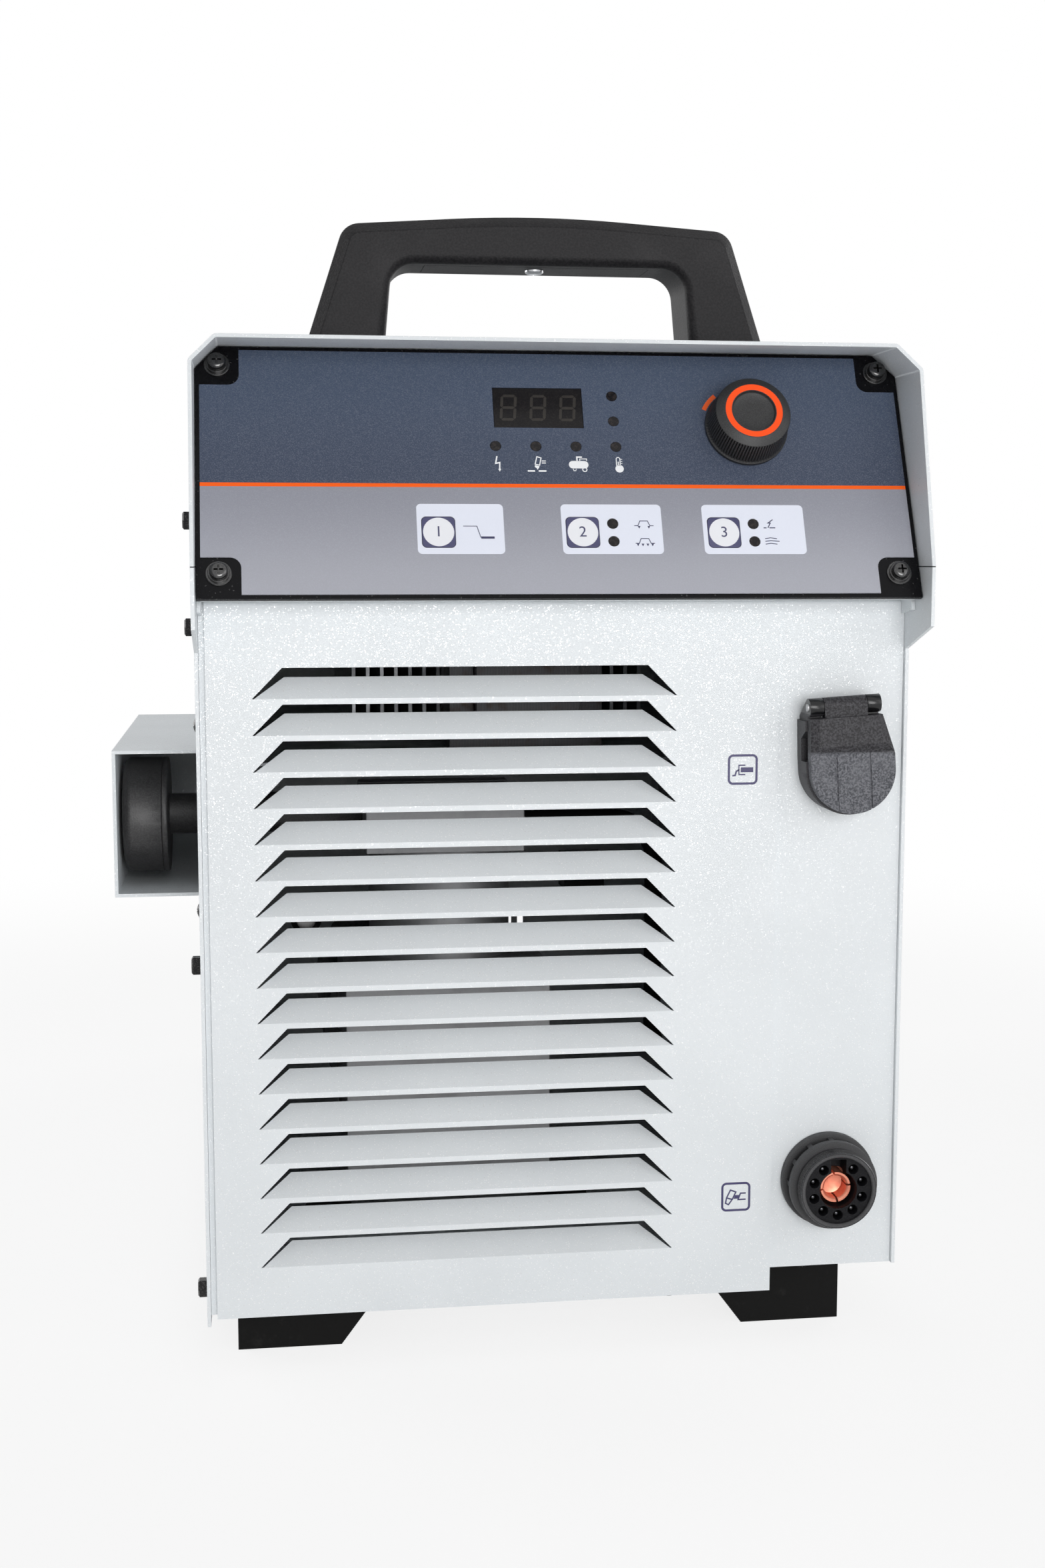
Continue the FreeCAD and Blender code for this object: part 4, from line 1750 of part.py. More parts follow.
def air_hose():
    """Hose from the compressor's head down to the valve, and the straight one from the valve to the torch."""
    high, low = (HEAD_BOTTOM + HEAD_TOP) / 2 - HOSE_OUTLET_DROP, FLOOR + HOSE_INLET_RISE
    start, end = MOTOR_X + HEAD_WIDTH / 2, TORCH_X - VALVE_WIDTH / 2
    bend, turn = HOSE_BEND, HOSE_TURN_X
    slack = bend * (1 - math.sqrt(0.5))

    def at(x, z):
        return vec(x, INTAKE_Y, z)

    edges = [Part.LineSegment(at(start, high), at(turn - bend, high)).toShape(),
             Part.Arc(at(turn - bend, high), at(turn - slack, high - slack), at(turn, high - bend)).toShape(),
             Part.LineSegment(at(turn, high - bend), at(turn, low + bend)).toShape(),
             Part.Arc(at(turn, low + bend), at(turn + slack, low + slack), at(turn + bend, low)).toShape(),
             Part.LineSegment(at(turn + bend, low), at(end, low)).toShape()]
    ring = Part.Wire(Part.makeCircle(HOSE_RADIUS, at(start, high), RIGHT))
    routed = Part.Wire(edges).makePipeShell([ring], True, False)
    socket_end = FRONT_FACE + TORCH_CONTACT_BACK
    straight = Part.makeCylinder(TORCH_HOSE_RADIUS, valve_front() - socket_end,
                                 vec(TORCH_X, socket_end, TORCH_Z), BACK)
    return group([routed, straight])


PIECES = {
    "base_pan": base_pan, "front_panel": front_panel, "panel_frame": panel_frame,
    "louvre_panel": louvre_panel, "upper_cover": upper_cover, "side_panel_left": side_panel_left,
    "side_panel_right": side_panel_right, "rear_panel": rear_panel,
    "side_screws": side_screws, "bottom_screws": bottom_screws,
    "control_plate": control_plate, "control_overlay": control_overlay, "control_screws": control_screws,
    "display_module": display_module, "indicator_leds": indicator_leds, "control_board": control_board,
    "button_f1": lambda: key(0), "button_f2": lambda: key(1), "button_f3": lambda: key(2),
    "encoder": encoder, "encoder_shaft": encoder_shaft, "knob": knob, "knob_ring": knob_ring,
    "handle_shell": handle_shell, "handle_insert": handle_insert, "handle_screws": handle_screws,
    "feet": feet, "foot_screws": foot_screws,
    "filter_guard": filter_guard, "guard_screws": guard_screws, "filter_body": filter_body,
    "filter_cover": filter_cover,
    "torch_socket_body": torch_socket_body, "torch_socket_insert": torch_socket_insert,
    "torch_socket_contact": torch_socket_contact, "torch_socket_nut": torch_socket_nut,
    "work_socket_body": work_socket_body, "work_socket_contact": work_socket_contact,
    "work_socket_lid": work_socket_lid, "lid_hinge_pin": lid_hinge_pin, "lid_spring": lid_spring,
    "fan_frame": fan_frame, "fan_rotor": fan_rotor, "fan_guard": fan_guard, "fan_screws": fan_screws,
    "power_switch_body": power_switch_body, "power_switch_rocker": power_switch_rocker,
    "cable_gland": cable_gland,
    "shelf_bridge": shelf_bridge, "heat_sinks": heat_sinks, "power_board": power_board,
    "capacitors": capacitors, "transformer": transformer,
    "compressor_mounts": compressor_mounts, "compressor_crankcase": compressor_crankcase,
    "compressor_piston": compressor_piston, "compressor_motor": compressor_motor,
    "compressor_shaft": compressor_shaft, "solenoid_valve": solenoid_valve, "air_hose": air_hose,
}

PLACES = {
    "knob axis": on_plate(KNOB_ACROSS, KNOB_UP).Base,
    "plate out": PLATE_OUT,
    "lid hinge": work_place().multVec(vec(HINGE_SHIFT, HINGE_RISE, hinge_height())),
    "fan axis": fan_place().Base,
    "shaft axis": shaft_place().Base,
    "rocker axis": switch_place().multVec(vec(0, 0, rocker_axis_out())),
    "torch socket face": torch_place().Base,
    "work socket face": work_place().Base,
    "gland face": facing_rear(GLAND_X, GLAND_Z).Base,
    "grip middle": vec(0, HANDLE_SETBACK + HANDLE_DEPTH / 2, TOP + HANDLE_OPENING_HEIGHT / 2),
    "guard mouth": vec(-HALF - GUARD_REACH / 2, GUARD_FRONT, INTAKE_Z),
}


def main():
    os.makedirs("parts", exist_ok=True)
    shapes = {name: build() for name, build in PIECES.items()}
    # The head and the blower are bolted or pressed on for good, so each is a further solid of its neighbour.
    shapes["compressor_crankcase"] = group([shapes["compressor_crankcase"], compressor_head()])
    shapes["compressor_shaft"] = group([shapes["compressor_shaft"], compressor_blower()])
    bounds = Part.makeCompound(list(shapes.values())).BoundBox
    shift = vec(-bounds.Center.x, -bounds.Center.y, -bounds.ZMin)
    for name, shape in shapes.items():
        shape.translate(shift)
        if not shape.isValid():
            print("not valid:", name)
        shape.exportStep("parts/" + name + ".step")
    print("size %.2f x %.2f x %.2f mm" % (bounds.XLength, bounds.YLength, bounds.ZLength))
    print("shift %.3f %.3f %.3f" % (shift.x, shift.y, shift.z))
    for name, point in PLACES.items():
        spot = point if name == "plate out" else point + shift
        print("place %s: %.4f %.4f %.4f" % (name, spot.x, spot.y, spot.z))


main()
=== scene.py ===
import math

import bmesh
import bpy
from mathutils import Matrix, Vector


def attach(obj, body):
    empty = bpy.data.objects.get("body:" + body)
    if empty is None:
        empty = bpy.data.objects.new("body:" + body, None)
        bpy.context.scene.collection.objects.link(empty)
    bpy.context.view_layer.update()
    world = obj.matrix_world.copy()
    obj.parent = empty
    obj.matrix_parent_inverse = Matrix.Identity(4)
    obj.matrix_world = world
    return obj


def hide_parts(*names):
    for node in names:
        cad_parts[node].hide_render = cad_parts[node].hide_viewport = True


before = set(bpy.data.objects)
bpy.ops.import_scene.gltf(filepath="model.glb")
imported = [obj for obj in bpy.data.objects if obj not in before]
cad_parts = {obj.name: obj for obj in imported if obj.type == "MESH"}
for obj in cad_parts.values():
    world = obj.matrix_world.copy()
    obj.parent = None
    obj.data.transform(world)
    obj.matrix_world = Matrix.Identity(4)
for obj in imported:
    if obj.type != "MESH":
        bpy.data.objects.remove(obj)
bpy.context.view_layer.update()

# Camera. The photographer stood close, a little to the left of the middle and at the height of the control
# panel, so the front leans in towards its foot.
FRAME_HEIGHT_PX = 2352
FOCAL_LENGTH_PX = 2870.9
CAMERA_PITCH = 0.11892
CAMERA_YAW = 0.1364

camera_data = bpy.data.cameras.new("camera")
camera_data.sensor_fit = "VERTICAL"
camera_data.sensor_height = 36.0
camera_data.lens = camera_data.sensor_height * FOCAL_LENGTH_PX / FRAME_HEIGHT_PX
camera_data.clip_start = 0.01
camera = bpy.data.objects.new("camera", camera_data)
camera.location = (-0.1026, -1.0074, 0.3294)
camera.rotation_euler = (math.pi / 2 - CAMERA_PITCH, 0.0, -CAMERA_YAW)
bpy.context.scene.collection.objects.link(camera)
bpy.context.scene.camera = camera
bpy.context.scene.view_settings.view_transform = "Standard"


# Floor and room. A plain pale studio floor that runs into a white surround far from the machine, and keeps
# the soft shadow under the feet.
LOOKING_RAYS = ("Is Camera Ray", "Is Glossy Ray", "Is Transmission Ray")


class Line:
    """A socket of a material's nodes. Arithmetic on it adds the Math nodes."""

    def __init__(self, finish, socket):
        self.finish = finish
        self.socket = socket

    def __add__(self, other):
        return self.finish.maths("ADD", self, other)

    def __radd__(self, other):
        return self.finish.maths("ADD", other, self)

    def __sub__(self, other):
        return self.finish.maths("SUBTRACT", self, other)

    def __rsub__(self, other):
        return self.finish.maths("SUBTRACT", other, self)

    def __mul__(self, other):
        return self.finish.maths("MULTIPLY", self, other)

    def __rmul__(self, other):
        return self.finish.maths("MULTIPLY", other, self)


class Finish:
    """Nodes of one material, or of the world. node() adds any node: its settings first, then its sockets."""

    def __init__(self, name, owner=None):
        self.owner = owner or bpy.data.materials.new(name)
        self.owner.use_nodes = True
        self.tree = self.owner.node_tree
        self.tree.nodes.clear()

    def node(self, kind, settings=None, sockets=None, out=0):
        made = self.tree.nodes.new(kind)
        for key, value in (settings or {}).items():
            setattr(made, key, value)
        for key, value in (sockets or {}).items():
            if isinstance(value, Line):
                self.tree.links.new(value.socket, made.inputs[key])
            else:
                made.inputs[key].default_value = value
        return Line(self, made.outputs[out]) if made.outputs else made

    def maths(self, operation, first, second=0.0):
        return self.node("ShaderNodeMath", {"operation": operation}, {0: first, 1: second})

    def mix(self, factor, first, second):
        """Colour that goes from the first to the second with the factor."""
        first, second = [c if isinstance(c, Line) else (*c, 1.0) for c in (first, second)]
        return self.node("ShaderNodeMix", {"data_type": "RGBA"}, {0: factor, 6: first, 7: second}, out=2)

    def mask(self, value, low, high):
        """0 below low and 1 above high, with a smooth step between them."""
        return self.node("ShaderNodeMapRange", {"interpolation_type": "SMOOTHSTEP"},
                         {"Value": value, "From Min": low, "From Max": high})

    def place(self):
        """Place on the piece at rest, in metres."""
        return self.node("ShaderNodeTexCoord", out=3)

    def along(self, axis):
        """Distance along X, Y or Z, given as 0, 1 or 2, on the piece at rest, in metres."""
        return self.node("ShaderNodeSeparateXYZ", None, {0: self.place()}, out=axis)

    def looked_at(self):
        """1 for the rays of the camera, of mirrors and of glass, and 0 for rays that only carry light."""
        camera, mirror, glass = [self.node("ShaderNodeLightPath", out=ray) for ray in LOOKING_RAYS]
        return camera + mirror + glass

    def noise(self, size, detail=2.0, roughness=0.5, stretch=(1.0, 1.0, 1.0)):
        """Soft noise whose blotches are about this size, in metres."""
        where = self.node("ShaderNodeMapping", None, {"Vector": self.place(), "Scale": stretch})
        return self.node("ShaderNodeTexNoise", None,
                         {"Vector": where, "Scale": 1.0 / size, "Detail": detail, "Roughness": roughness})

    def cells(self, size, randomness=1.0):
        """A random value for each cell of this size, in metres."""
        colour = self.node("ShaderNodeTexVoronoi", None, {"Vector": self.place(), "Scale": 1.0 / size,
                                                          "Randomness": randomness}, out=1)
        return self.node("ShaderNodeSeparateColor", None, {"Color": colour})

    def bump(self, height, distance, strength=1.0):
        return self.node("ShaderNodeBump", None,
                         {"Height": height, "Distance": distance, "Strength": strength})

    def surface(self, **sockets):
        """Ends the material in a Principled shader with these sockets, underscores standing for spaces."""
        given = {key.replace("_", " "): value for key, value in sockets.items()}
        for key, value in given.items():
            if isinstance(value, tuple) and len(value) == 3:
                given[key] = (*value, 1.0)
        shader = self.node("ShaderNodeBsdfPrincipled", None, given)
        self.node("ShaderNodeOutputMaterial", None, {"Surface": shader})
        return self.owner


WHITE = (1.0, 1.0, 1.0, 1.0)
FLOOR_COLOUR = (0.93, 0.93, 0.93, 1.0)
FLOOR_SIZE = 12.0
NEAR_WHITE = 0.82
SHADOW_START = 0.45
SHADOW_END = 1.1

floor_finish = Finish("studio_floor")
distance = floor_finish.node("ShaderNodeVectorMath", {"operation": "LENGTH"}, {0: floor_finish.place()},
                             out=1)
matt = floor_finish.node("ShaderNodeBsdfDiffuse", None, {"Color": FLOOR_COLOUR})
glow = floor_finish.node("ShaderNodeEmission", None, {"Color": WHITE, "Strength": 1.0})
whitened = NEAR_WHITE + (1.0 - NEAR_WHITE) * floor_finish.mask(distance, SHADOW_START, SHADOW_END)
both = floor_finish.node("ShaderNodeMixShader", None,
                         {0: floor_finish.looked_at() * whitened, 1: matt, 2: glow})
floor_finish.node("ShaderNodeOutputMaterial", None, {"Surface": both})
floor_mesh = bpy.data.meshes.new("floor")
reach = FLOOR_SIZE / 2
floor_corners = [(x * reach, y * reach, 0) for x, y in ((-1, -1), (1, -1), (1, 1), (-1, 1))]
floor_mesh.from_pydata(floor_corners, [], [range(4)])
floor = bpy.data.objects.new("floor", floor_mesh)
floor_mesh.materials.append(floor_finish.owner)
bpy.context.scene.collection.objects.link(floor)

AMBIENT = 0.34
world = bpy.data.worlds.new("room")
bpy.context.scene.world = world
room = Finish("room", world)
strength = AMBIENT + room.looked_at() * (1.0 - AMBIENT)
sky = room.node("ShaderNodeBackground", None, {"Color": WHITE, "Strength": strength})
room.node("ShaderNodeOutputWorld", None, {"Surface": sky})


LAMP_TARGET = Vector((0.02, -0.1, 0.22))


def soft_lamp(name, location, power, size):
    """A square studio softbox that faces the machine. Its power is in watts."""
    data = bpy.data.lights.new(name, "AREA")
    data.energy = power
    data.size = size
    lamp = bpy.data.objects.new(name, data)
    lamp.location = location
    lamp.rotation_euler = (LAMP_TARGET - Vector(location)).to_track_quat("-Z", "Y").to_euler()
    bpy.context.scene.collection.objects.link(lamp)


soft_lamp("key_softbox", (0.15, -1.85, 0.45), power=13.5, size=0.8)
soft_lamp("fill_softbox", (1.5, -1.5, 0.9), power=6.0, size=1.2)
soft_lamp("rear_left_softbox", (-1.8, 1.2, 0.8), power=22.0, size=1.4)
soft_lamp("rear_right_softbox", (1.7, 1.5, 0.8), power=16.0, size=1.4)


# Sheet-metal case. Folded steel sheet, 1.5 mm thick, in a pale grey powder coat with a fine orange peel and
# a faint metallic sparkle. The covers are screwed to the pan and to the front and rear sheets.
CASE_GREY = (0.735, 0.765, 0.785)
CASE_GREY_DEEP = (0.68, 0.71, 0.73)
PEEL_SIZE = 0.0011
SPARKLE_SIZE = 0.00032
FOLD_ROUNDING = 0.0004
WELD_DISTANCE = 0.000001
FLAT_WITHIN = math.radians(0.3)
SHARP_ABOVE = math.radians(40.0)


def powder_coat(name, colour, deep, roughness=0.42, sparkle_colour=(1.0, 1.0, 1.0)):
    coat = Finish(name)
    blotch = coat.mask(coat.noise(0.05, 3.0), 0.35, 0.65)
    grain = coat.cells(SPARKLE_SIZE)
    sparkle = coat.mask(grain, 0.95, 0.97)
    soft = coat.mix(blotch * 0.5, colour, deep)
    peel = coat.noise(PEEL_SIZE, 2.0, 0.6)
    speck = coat.mix(grain * 0.35, soft, deep)
    base = coat.mix(sparkle * 0.6, speck, sparkle_colour)
    return coat.surface(Base_Color=base, Roughness=roughness + peel * 0.12 - sparkle * 0.2,
                        Metallic=sparkle * 0.25, Normal=coat.bump(peel, 0.00012, 0.5))


def dress(material, *nodes, rounding=0.0):
    """Gives CAD nodes a finish, and their sharp edges the small rounding that catches the light."""
    for node in nodes:
        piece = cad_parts[node]
        for slot in piece.material_slots:
            slot.material = material
        if rounding:
            weld = piece.modifiers.new("weld", "WELD")
            weld.merge_threshold = WELD_DISTANCE
            flatten = piece.modifiers.new("flat_faces", "DECIMATE")
            flatten.decimate_type = "DISSOLVE"
            flatten.angle_limit = FLAT_WITHIN
            soften = piece.modifiers.new("rounded_edges", "BEVEL")
            soften.width = rounding
            soften.segments = 2
            soften.limit_method = "ANGLE"
            soften.angle_limit = SHARP_ABOVE
            soften.use_clamp_overlap = True
            soften.harden_normals = True


case_paint = powder_coat("case_powder_coat", CASE_GREY, CASE_GREY_DEEP)
dress(case_paint, "base_pan", "front_panel", "louvre_panel", "upper_cover", "side_panel_left",
      "side_panel_right", "filter_guard", rounding=FOLD_ROUNDING)
dress(case_paint, "rear_panel")


# Case screws. Black zinc-plated steel hexagon heads with a turned chamfer and a cross recess, driven through
# the side sheets into the flanges of the front and rear sheets.
MM = 0.001
SIDE_HEAD = 4.0
SIDE_ACROSS_CORNERS = 8.08
SIDE_SHANK = 2.5
SIDE_SHANK_LENGTH = 7.0
HEAD_CHAMFER = 0.6
CHAMFER_WIDTH = 0.84
SIDE_RECESS = (1.9, 0.9, 1.5)


def metres(origin, across, up, out):
    """Matrix from millimetres in a local frame, whose Z points out of the surface, to metres."""
    turn = Matrix((across, up, out)).transposed().to_4x4()
    return Matrix.Translation(origin) @ turn @ Matrix.Scale(MM, 4)


RIGHT = Vector((1, 0, 0))
BACK = Vector((0, 1, 0))
UP = Vector((0, 0, 1))


def turned(profile, steps=48):
    """Body of revolution about Z from (radius, height) points that start and end on the axis."""
    body = bmesh.new()
    rings = []
    for radius, height in profile:
        count = steps if radius > 0.0001 else 1
        angles = [math.tau * k / count for k in range(count)]
        rings.append([body.verts.new((radius * math.cos(angle), radius * math.sin(angle), height))
                      for angle in angles])
    for low, high in zip(rings, rings[1:]):
        for k in range(steps):
            around = [low[k % len(low)], low[(k + 1) % len(low)],
                      high[(k + 1) % len(high)], high[k % len(high)]]
            corners = list(dict.fromkeys(around))
            if len(corners) > 2:
                body.faces.new(corners)
    bmesh.ops.recalc_face_normals(body, faces=body.faces)
    return body


def slab_mesh(width, height, low, high, draft=0.0):
    """Block centred on Z, drawn in by the draft towards its low end."""
    body = bmesh.new()
    rows = []
    for level, inset in ((low, draft), (high, 0.0)):
        a, b = width / 2 - inset, height / 2 - inset
        rows.append([body.verts.new((x, y, level)) for x, y in ((-a, -b), (a, -b), (a, b), (-a, b))])
    body.faces.new(rows[0][::-1])
    body.faces.new(rows[1])
    for k in range(4):
        body.faces.new((rows[0][k], rows[0][(k + 1) % 4], rows[1][(k + 1) % 4], rows[1][k]))
    return body


def mesh_of(body, name="mesh"):
    mesh = bpy.data.meshes.new(name)
    body.to_mesh(mesh)
    body.free()
    return mesh


def cut_by(body, *cutters):
    """The body with the cutters taken out of it, as a mesh."""
    scene = bpy.context.scene.collection
    whole = bpy.data.objects.new("whole", mesh_of(body))
    scene.objects.link(whole)
    tools = []
    for cutter in cutters:
        tool = bpy.data.objects.new("tool", mesh_of(cutter))
        scene.objects.link(tool)
        cut = whole.modifiers.new("cut", "BOOLEAN")
        cut.object = tool
        cut.solver = "EXACT"
        tools.append(tool)
    shaped = bpy.data.meshes.new_from_object(whole.evaluated_get(bpy.context.evaluated_depsgraph_get()))
    for leftover in [whole] + tools:
        bpy.data.objects.remove(leftover)
    return shaped


def cross_recess(arm, slot, depth, top):
    """Cutters for the cross recess of a screw head whose face is at top."""
    return [slab_mesh(width, height, top - depth, top + 1.0, draft=0.25 * slot)
            for width, height in ((2 * arm, slot), (slot, 2 * arm))]


def add_copy(whole, mesh, place):
    """Adds a copy of a mesh to a body, at a place."""
    start = len(whole.verts)
    whole.from_mesh(mesh)
    whole.verts.ensure_lookup_table()
    bmesh.ops.transform(whole, matrix=place, verts=whole.verts[start:])


def repeated(mesh, places):
    """Body that repeats a mesh at each of the places."""
    whole = bmesh.new()
    for place in places:
        add_copy(whole, mesh, place)
    return whole


def new_piece(name, body, material, rides="case", replaces=(), crease=35.0):
    """Makes a piece of a finished mesh, in metres, and puts it on the body that it moves with."""
    bmesh.ops.recalc_face_normals(body, faces=body.faces)
    for face in body.faces:
        face.smooth = True
    for edge in body.edges:
        if len(edge.link_faces) == 2 and edge.calc_face_angle(0.0) > math.radians(crease):
            edge.smooth = False
    mesh = mesh_of(body, name)
    mesh.materials.append(material)
    piece = bpy.data.objects.new(name, mesh)
    bpy.context.scene.collection.objects.link(piece)
    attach(piece, rides)
    if replaces:
        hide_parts(*replaces)


def solids_of(node):
    """Lowest and highest corner of each separate solid of a CAD node, in metres."""
    body = bmesh.new()
    body.from_mesh(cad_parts[node].data)
    bmesh.ops.remove_doubles(body, verts=body.verts, dist=WELD_DISTANCE)
    boxes = []
    left = set(body.verts)
    while left:
        island, reached = set(), [left.pop()]
        while reached:
            vert = reached.pop()
            island.add(vert)
            for edge in vert.link_edges:
                other = edge.other_vert(vert)
                if other in left:
                    left.discard(other)
                    reached.append(other)
        low = Vector([min(vert.co[i] for vert in island) for i in range(3)])
        high = Vector([max(vert.co[i] for vert in island) for i in range(3)])
        boxes.append((low, high))
    body.free()
    return sorted(boxes, key=lambda box: tuple(box[0]))


def black_zinc(name, polish=0.0):
    """Black zinc plating with a little dust. Polish makes it lighter and smoother."""
    coat = Finish(name)
    dust = coat.noise(0.0006, 3.0)
    colour = coat.mix(coat.mask(dust, 0.45, 0.75), (0.020 + polish, 0.020 + polish, 0.021 + polish),
                      (0.060 + polish, 0.058 + polish, 0.056 + polish))
    return coat.surface(Base_Color=colour, Metallic=0.9, Roughness=0.18 - polish + dust * 0.16,
                        Normal=coat.bump(dust, 0.00002, 0.4))


screw_black = black_zinc("black_zinc_screws")
corner = SIDE_ACROSS_CORNERS / 2
side_screw = turned([(0, -SIDE_SHANK_LENGTH), (SIDE_SHANK, -SIDE_SHANK_LENGTH), (SIDE_SHANK, 0.0),
                     (corner, 0.0), (corner, SIDE_HEAD - HEAD_CHAMFER), (corner - CHAMFER_WIDTH, SIDE_HEAD),
                     (0, SIDE_HEAD)], steps=6)
hex_head = cut_by(side_screw, *cross_recess(*SIDE_RECESS, SIDE_HEAD))
places = []
for low, high in solids_of("side_screws"):
    middle = (low + high) / 2
    outward = 1 if middle.x > 0 else -1
    seat = (high.x if outward > 0 else low.x) - outward * SIDE_HEAD * MM
    places.append(metres((seat, middle.y, middle.z), BACK * outward, UP, RIGHT * outward))
new_piece("case_screws", repeated(hex_head, places), screw_black, replaces=["side_screws"])


# Dome screws. Black zinc-plated steel with round heads and a cross recess: under the front sheets' lower
# folds, and through the flanges of the filter's guard.
DOME_RADIUS = 4.4
DOME_HEIGHT = 2.4
DOME_SHANK = 2.0
DOME_SHANK_LENGTH = 7.0
DOME_STEPS = 7
DOME_RECESS = (2.1, 0.9, 1.6)

ball = (DOME_RADIUS ** 2 + DOME_HEIGHT ** 2) / (2 * DOME_HEIGHT)
rim_angle = math.asin(DOME_RADIUS / ball)
dome_arc = [(ball * math.sin(angle), DOME_HEIGHT - ball + ball * math.cos(angle))
            for angle in [rim_angle * (1 - k / DOME_STEPS) for k in range(DOME_STEPS)]]
dome_screw = turned([(0, -DOME_SHANK_LENGTH), (DOME_SHANK, -DOME_SHANK_LENGTH), (DOME_SHANK, 0),
                     (DOME_RADIUS, 0)] + dome_arc + [(0, DOME_HEIGHT)], steps=32)
dome_head = cut_by(dome_screw, *cross_recess(*DOME_RECESS, DOME_HEIGHT))
places = [metres(((low.x + high.x) / 2, (low.y + high.y) / 2, low.z + DOME_HEIGHT * MM), RIGHT, -BACK, -UP)
          for low, high in solids_of("bottom_screws")]
new_piece("lower_edge_screws", repeated(dome_head, places), screw_black,
          replaces=["bottom_screws"])
places = [metres((low.x + DOME_HEIGHT * MM, (low.y + high.y) / 2, (low.z + high.z) / 2), -BACK, UP, -RIGHT)
          for low, high in solids_of("guard_screws")]
new_piece("guard_dome_screws", repeated(dome_head, places), screw_black,
          replaces=["guard_screws"])


# Control plate. Black powder-coated sheet that leans back under the cover, held by a screw in each corner to
# a frame folded from one sheet of the case.
PLATE_FOOT = Vector((0.0170, -0.2686, 0.3128))
PLATE_TILT = math.radians(24.2)
PLATE_UP = Vector((0, math.sin(PLATE_TILT), math.cos(PLATE_TILT)))
PLATE_OUT = Vector((0, -math.cos(PLATE_TILT), math.sin(PLATE_TILT)))


def on_plate(across=0.0, up=0.0, out=0.0):
    """Matrix from millimetres on the control plate, about a point of it, to metres."""
    origin = PLATE_FOOT + (RIGHT * across + PLATE_UP * up + PLATE_OUT * out) * MM
    return metres(origin, RIGHT, PLATE_UP, PLATE_OUT)


gloss = Finish("plate_black_coat")
haze = gloss.noise(0.004, 3.0)
dust = gloss.mask(gloss.cells(0.0005), 0.985, 0.995)
gloss_tone = gloss.mix(dust * 0.5, (0.003, 0.003, 0.004), (0.10, 0.10, 0.10))
dress(gloss.surface(Base_Color=gloss_tone, Roughness=0.22 + haze * 0.1, Specular_IOR_Level=0.15,
                    Normal=gloss.bump(gloss.noise(0.0009), 0.00004, 0.35)), "control_plate", rounding=0.0003)


# Printed film. Polyester film stuck on the control plate, printed from behind: slate blue above an orange
# line, mid grey that lightens towards its foot below it, both with a fine metallic grain.
SLATE = (0.050, 0.071, 0.118)
SLATE_DARK = (0.037, 0.050, 0.086)
FILM_GREY = (0.265, 0.270, 0.312)
FILM_GREY_LIGHT = (0.385, 0.390, 0.435)
FILM_ORANGE = (0.95, 0.125, 0.012)
FILM_FOOT = 2.0
FILM_HEAD = 105.0
LINE_UP = 47.9
LINE_WIDTH = 1.6
PRINT_EDGE = 0.05

film = Finish("printed_film")
up_plate = ((film.along(1) - PLATE_FOOT.y) * PLATE_UP.y
            + (film.along(2) - PLATE_FOOT.z) * PLATE_UP.z) * (1.0 / MM)


def above_level(level):
    """0 below a level of the film and 1 above it, with a crisp printed edge."""
    return film.mask(up_plate, level - PRINT_EDGE, level + PRINT_EDGE)


grain = film.cells(0.00022)
fine = film.noise(0.0005, 2.0, 0.7)
above = film.mix(film.mask(up_plate, LINE_UP, FILM_HEAD), SLATE_DARK, SLATE)
below = film.mix(film.mask(up_plate, FILM_FOOT, LINE_UP), FILM_GREY_LIGHT, FILM_GREY)
ground = film.mix(above_level(LINE_UP), below, above)
grained = film.mix(film.mask(grain, 0.55, 1.0) * 0.10 + fine * 0.055, ground, (0.62, 0.66, 0.75))
on_line = above_level(LINE_UP - LINE_WIDTH / 2) * (1.0 - above_level(LINE_UP + LINE_WIDTH / 2))
printed = film.mix(on_line, grained, FILM_ORANGE)
dress(film.surface(Base_Color=printed, Roughness=0.36 + fine * 0.14, Specular_IOR_Level=0.18,
                   Normal=film.bump(fine, 0.00003, 0.35)), "control_overlay")


# Plate screws. Black steel pan heads with a cross recess, each with a spring washer and a flat washer, in
# the four corners of the control plate.
SCREW_SHANK = [(0, -8.0), (2.0, -8.0), (2.0, 0.0)]
FLAT_WASHER = [(5.1, 0.0), (5.1, 0.5), (4.85, 0.75)]
SPRING_WASHER = [(4.2, 0.75), (4.2, 1.6), (4.0, 1.8), (3.1, 1.8)]
PLATE_HEAD = [(3.1, 2.0), (3.5, 2.1), (3.5, 3.3), (3.3, 3.9), (2.9, 4.3), (2.2, 4.5), (0, 4.6)]
PLATE_RECESS = (1.9, 0.9, 2.0)
PLATE_SCREW_ACROSS = 134.6
PLATE_SCREW_ROWS = (10.5, 100.12)

plate_screw = cut_by(turned(SCREW_SHANK + FLAT_WASHER + SPRING_WASHER + PLATE_HEAD, steps=40),
                     *cross_recess(*PLATE_RECESS, PLATE_HEAD[-1][1]))
places = [on_plate(side * PLATE_SCREW_ACROSS, up) for side in (-1, 1) for up in PLATE_SCREW_ROWS]
new_piece("plate_screws", repeated(plate_screw, places), black_zinc("polished_black_zinc", polish=0.06),
          replaces=["control_screws"])


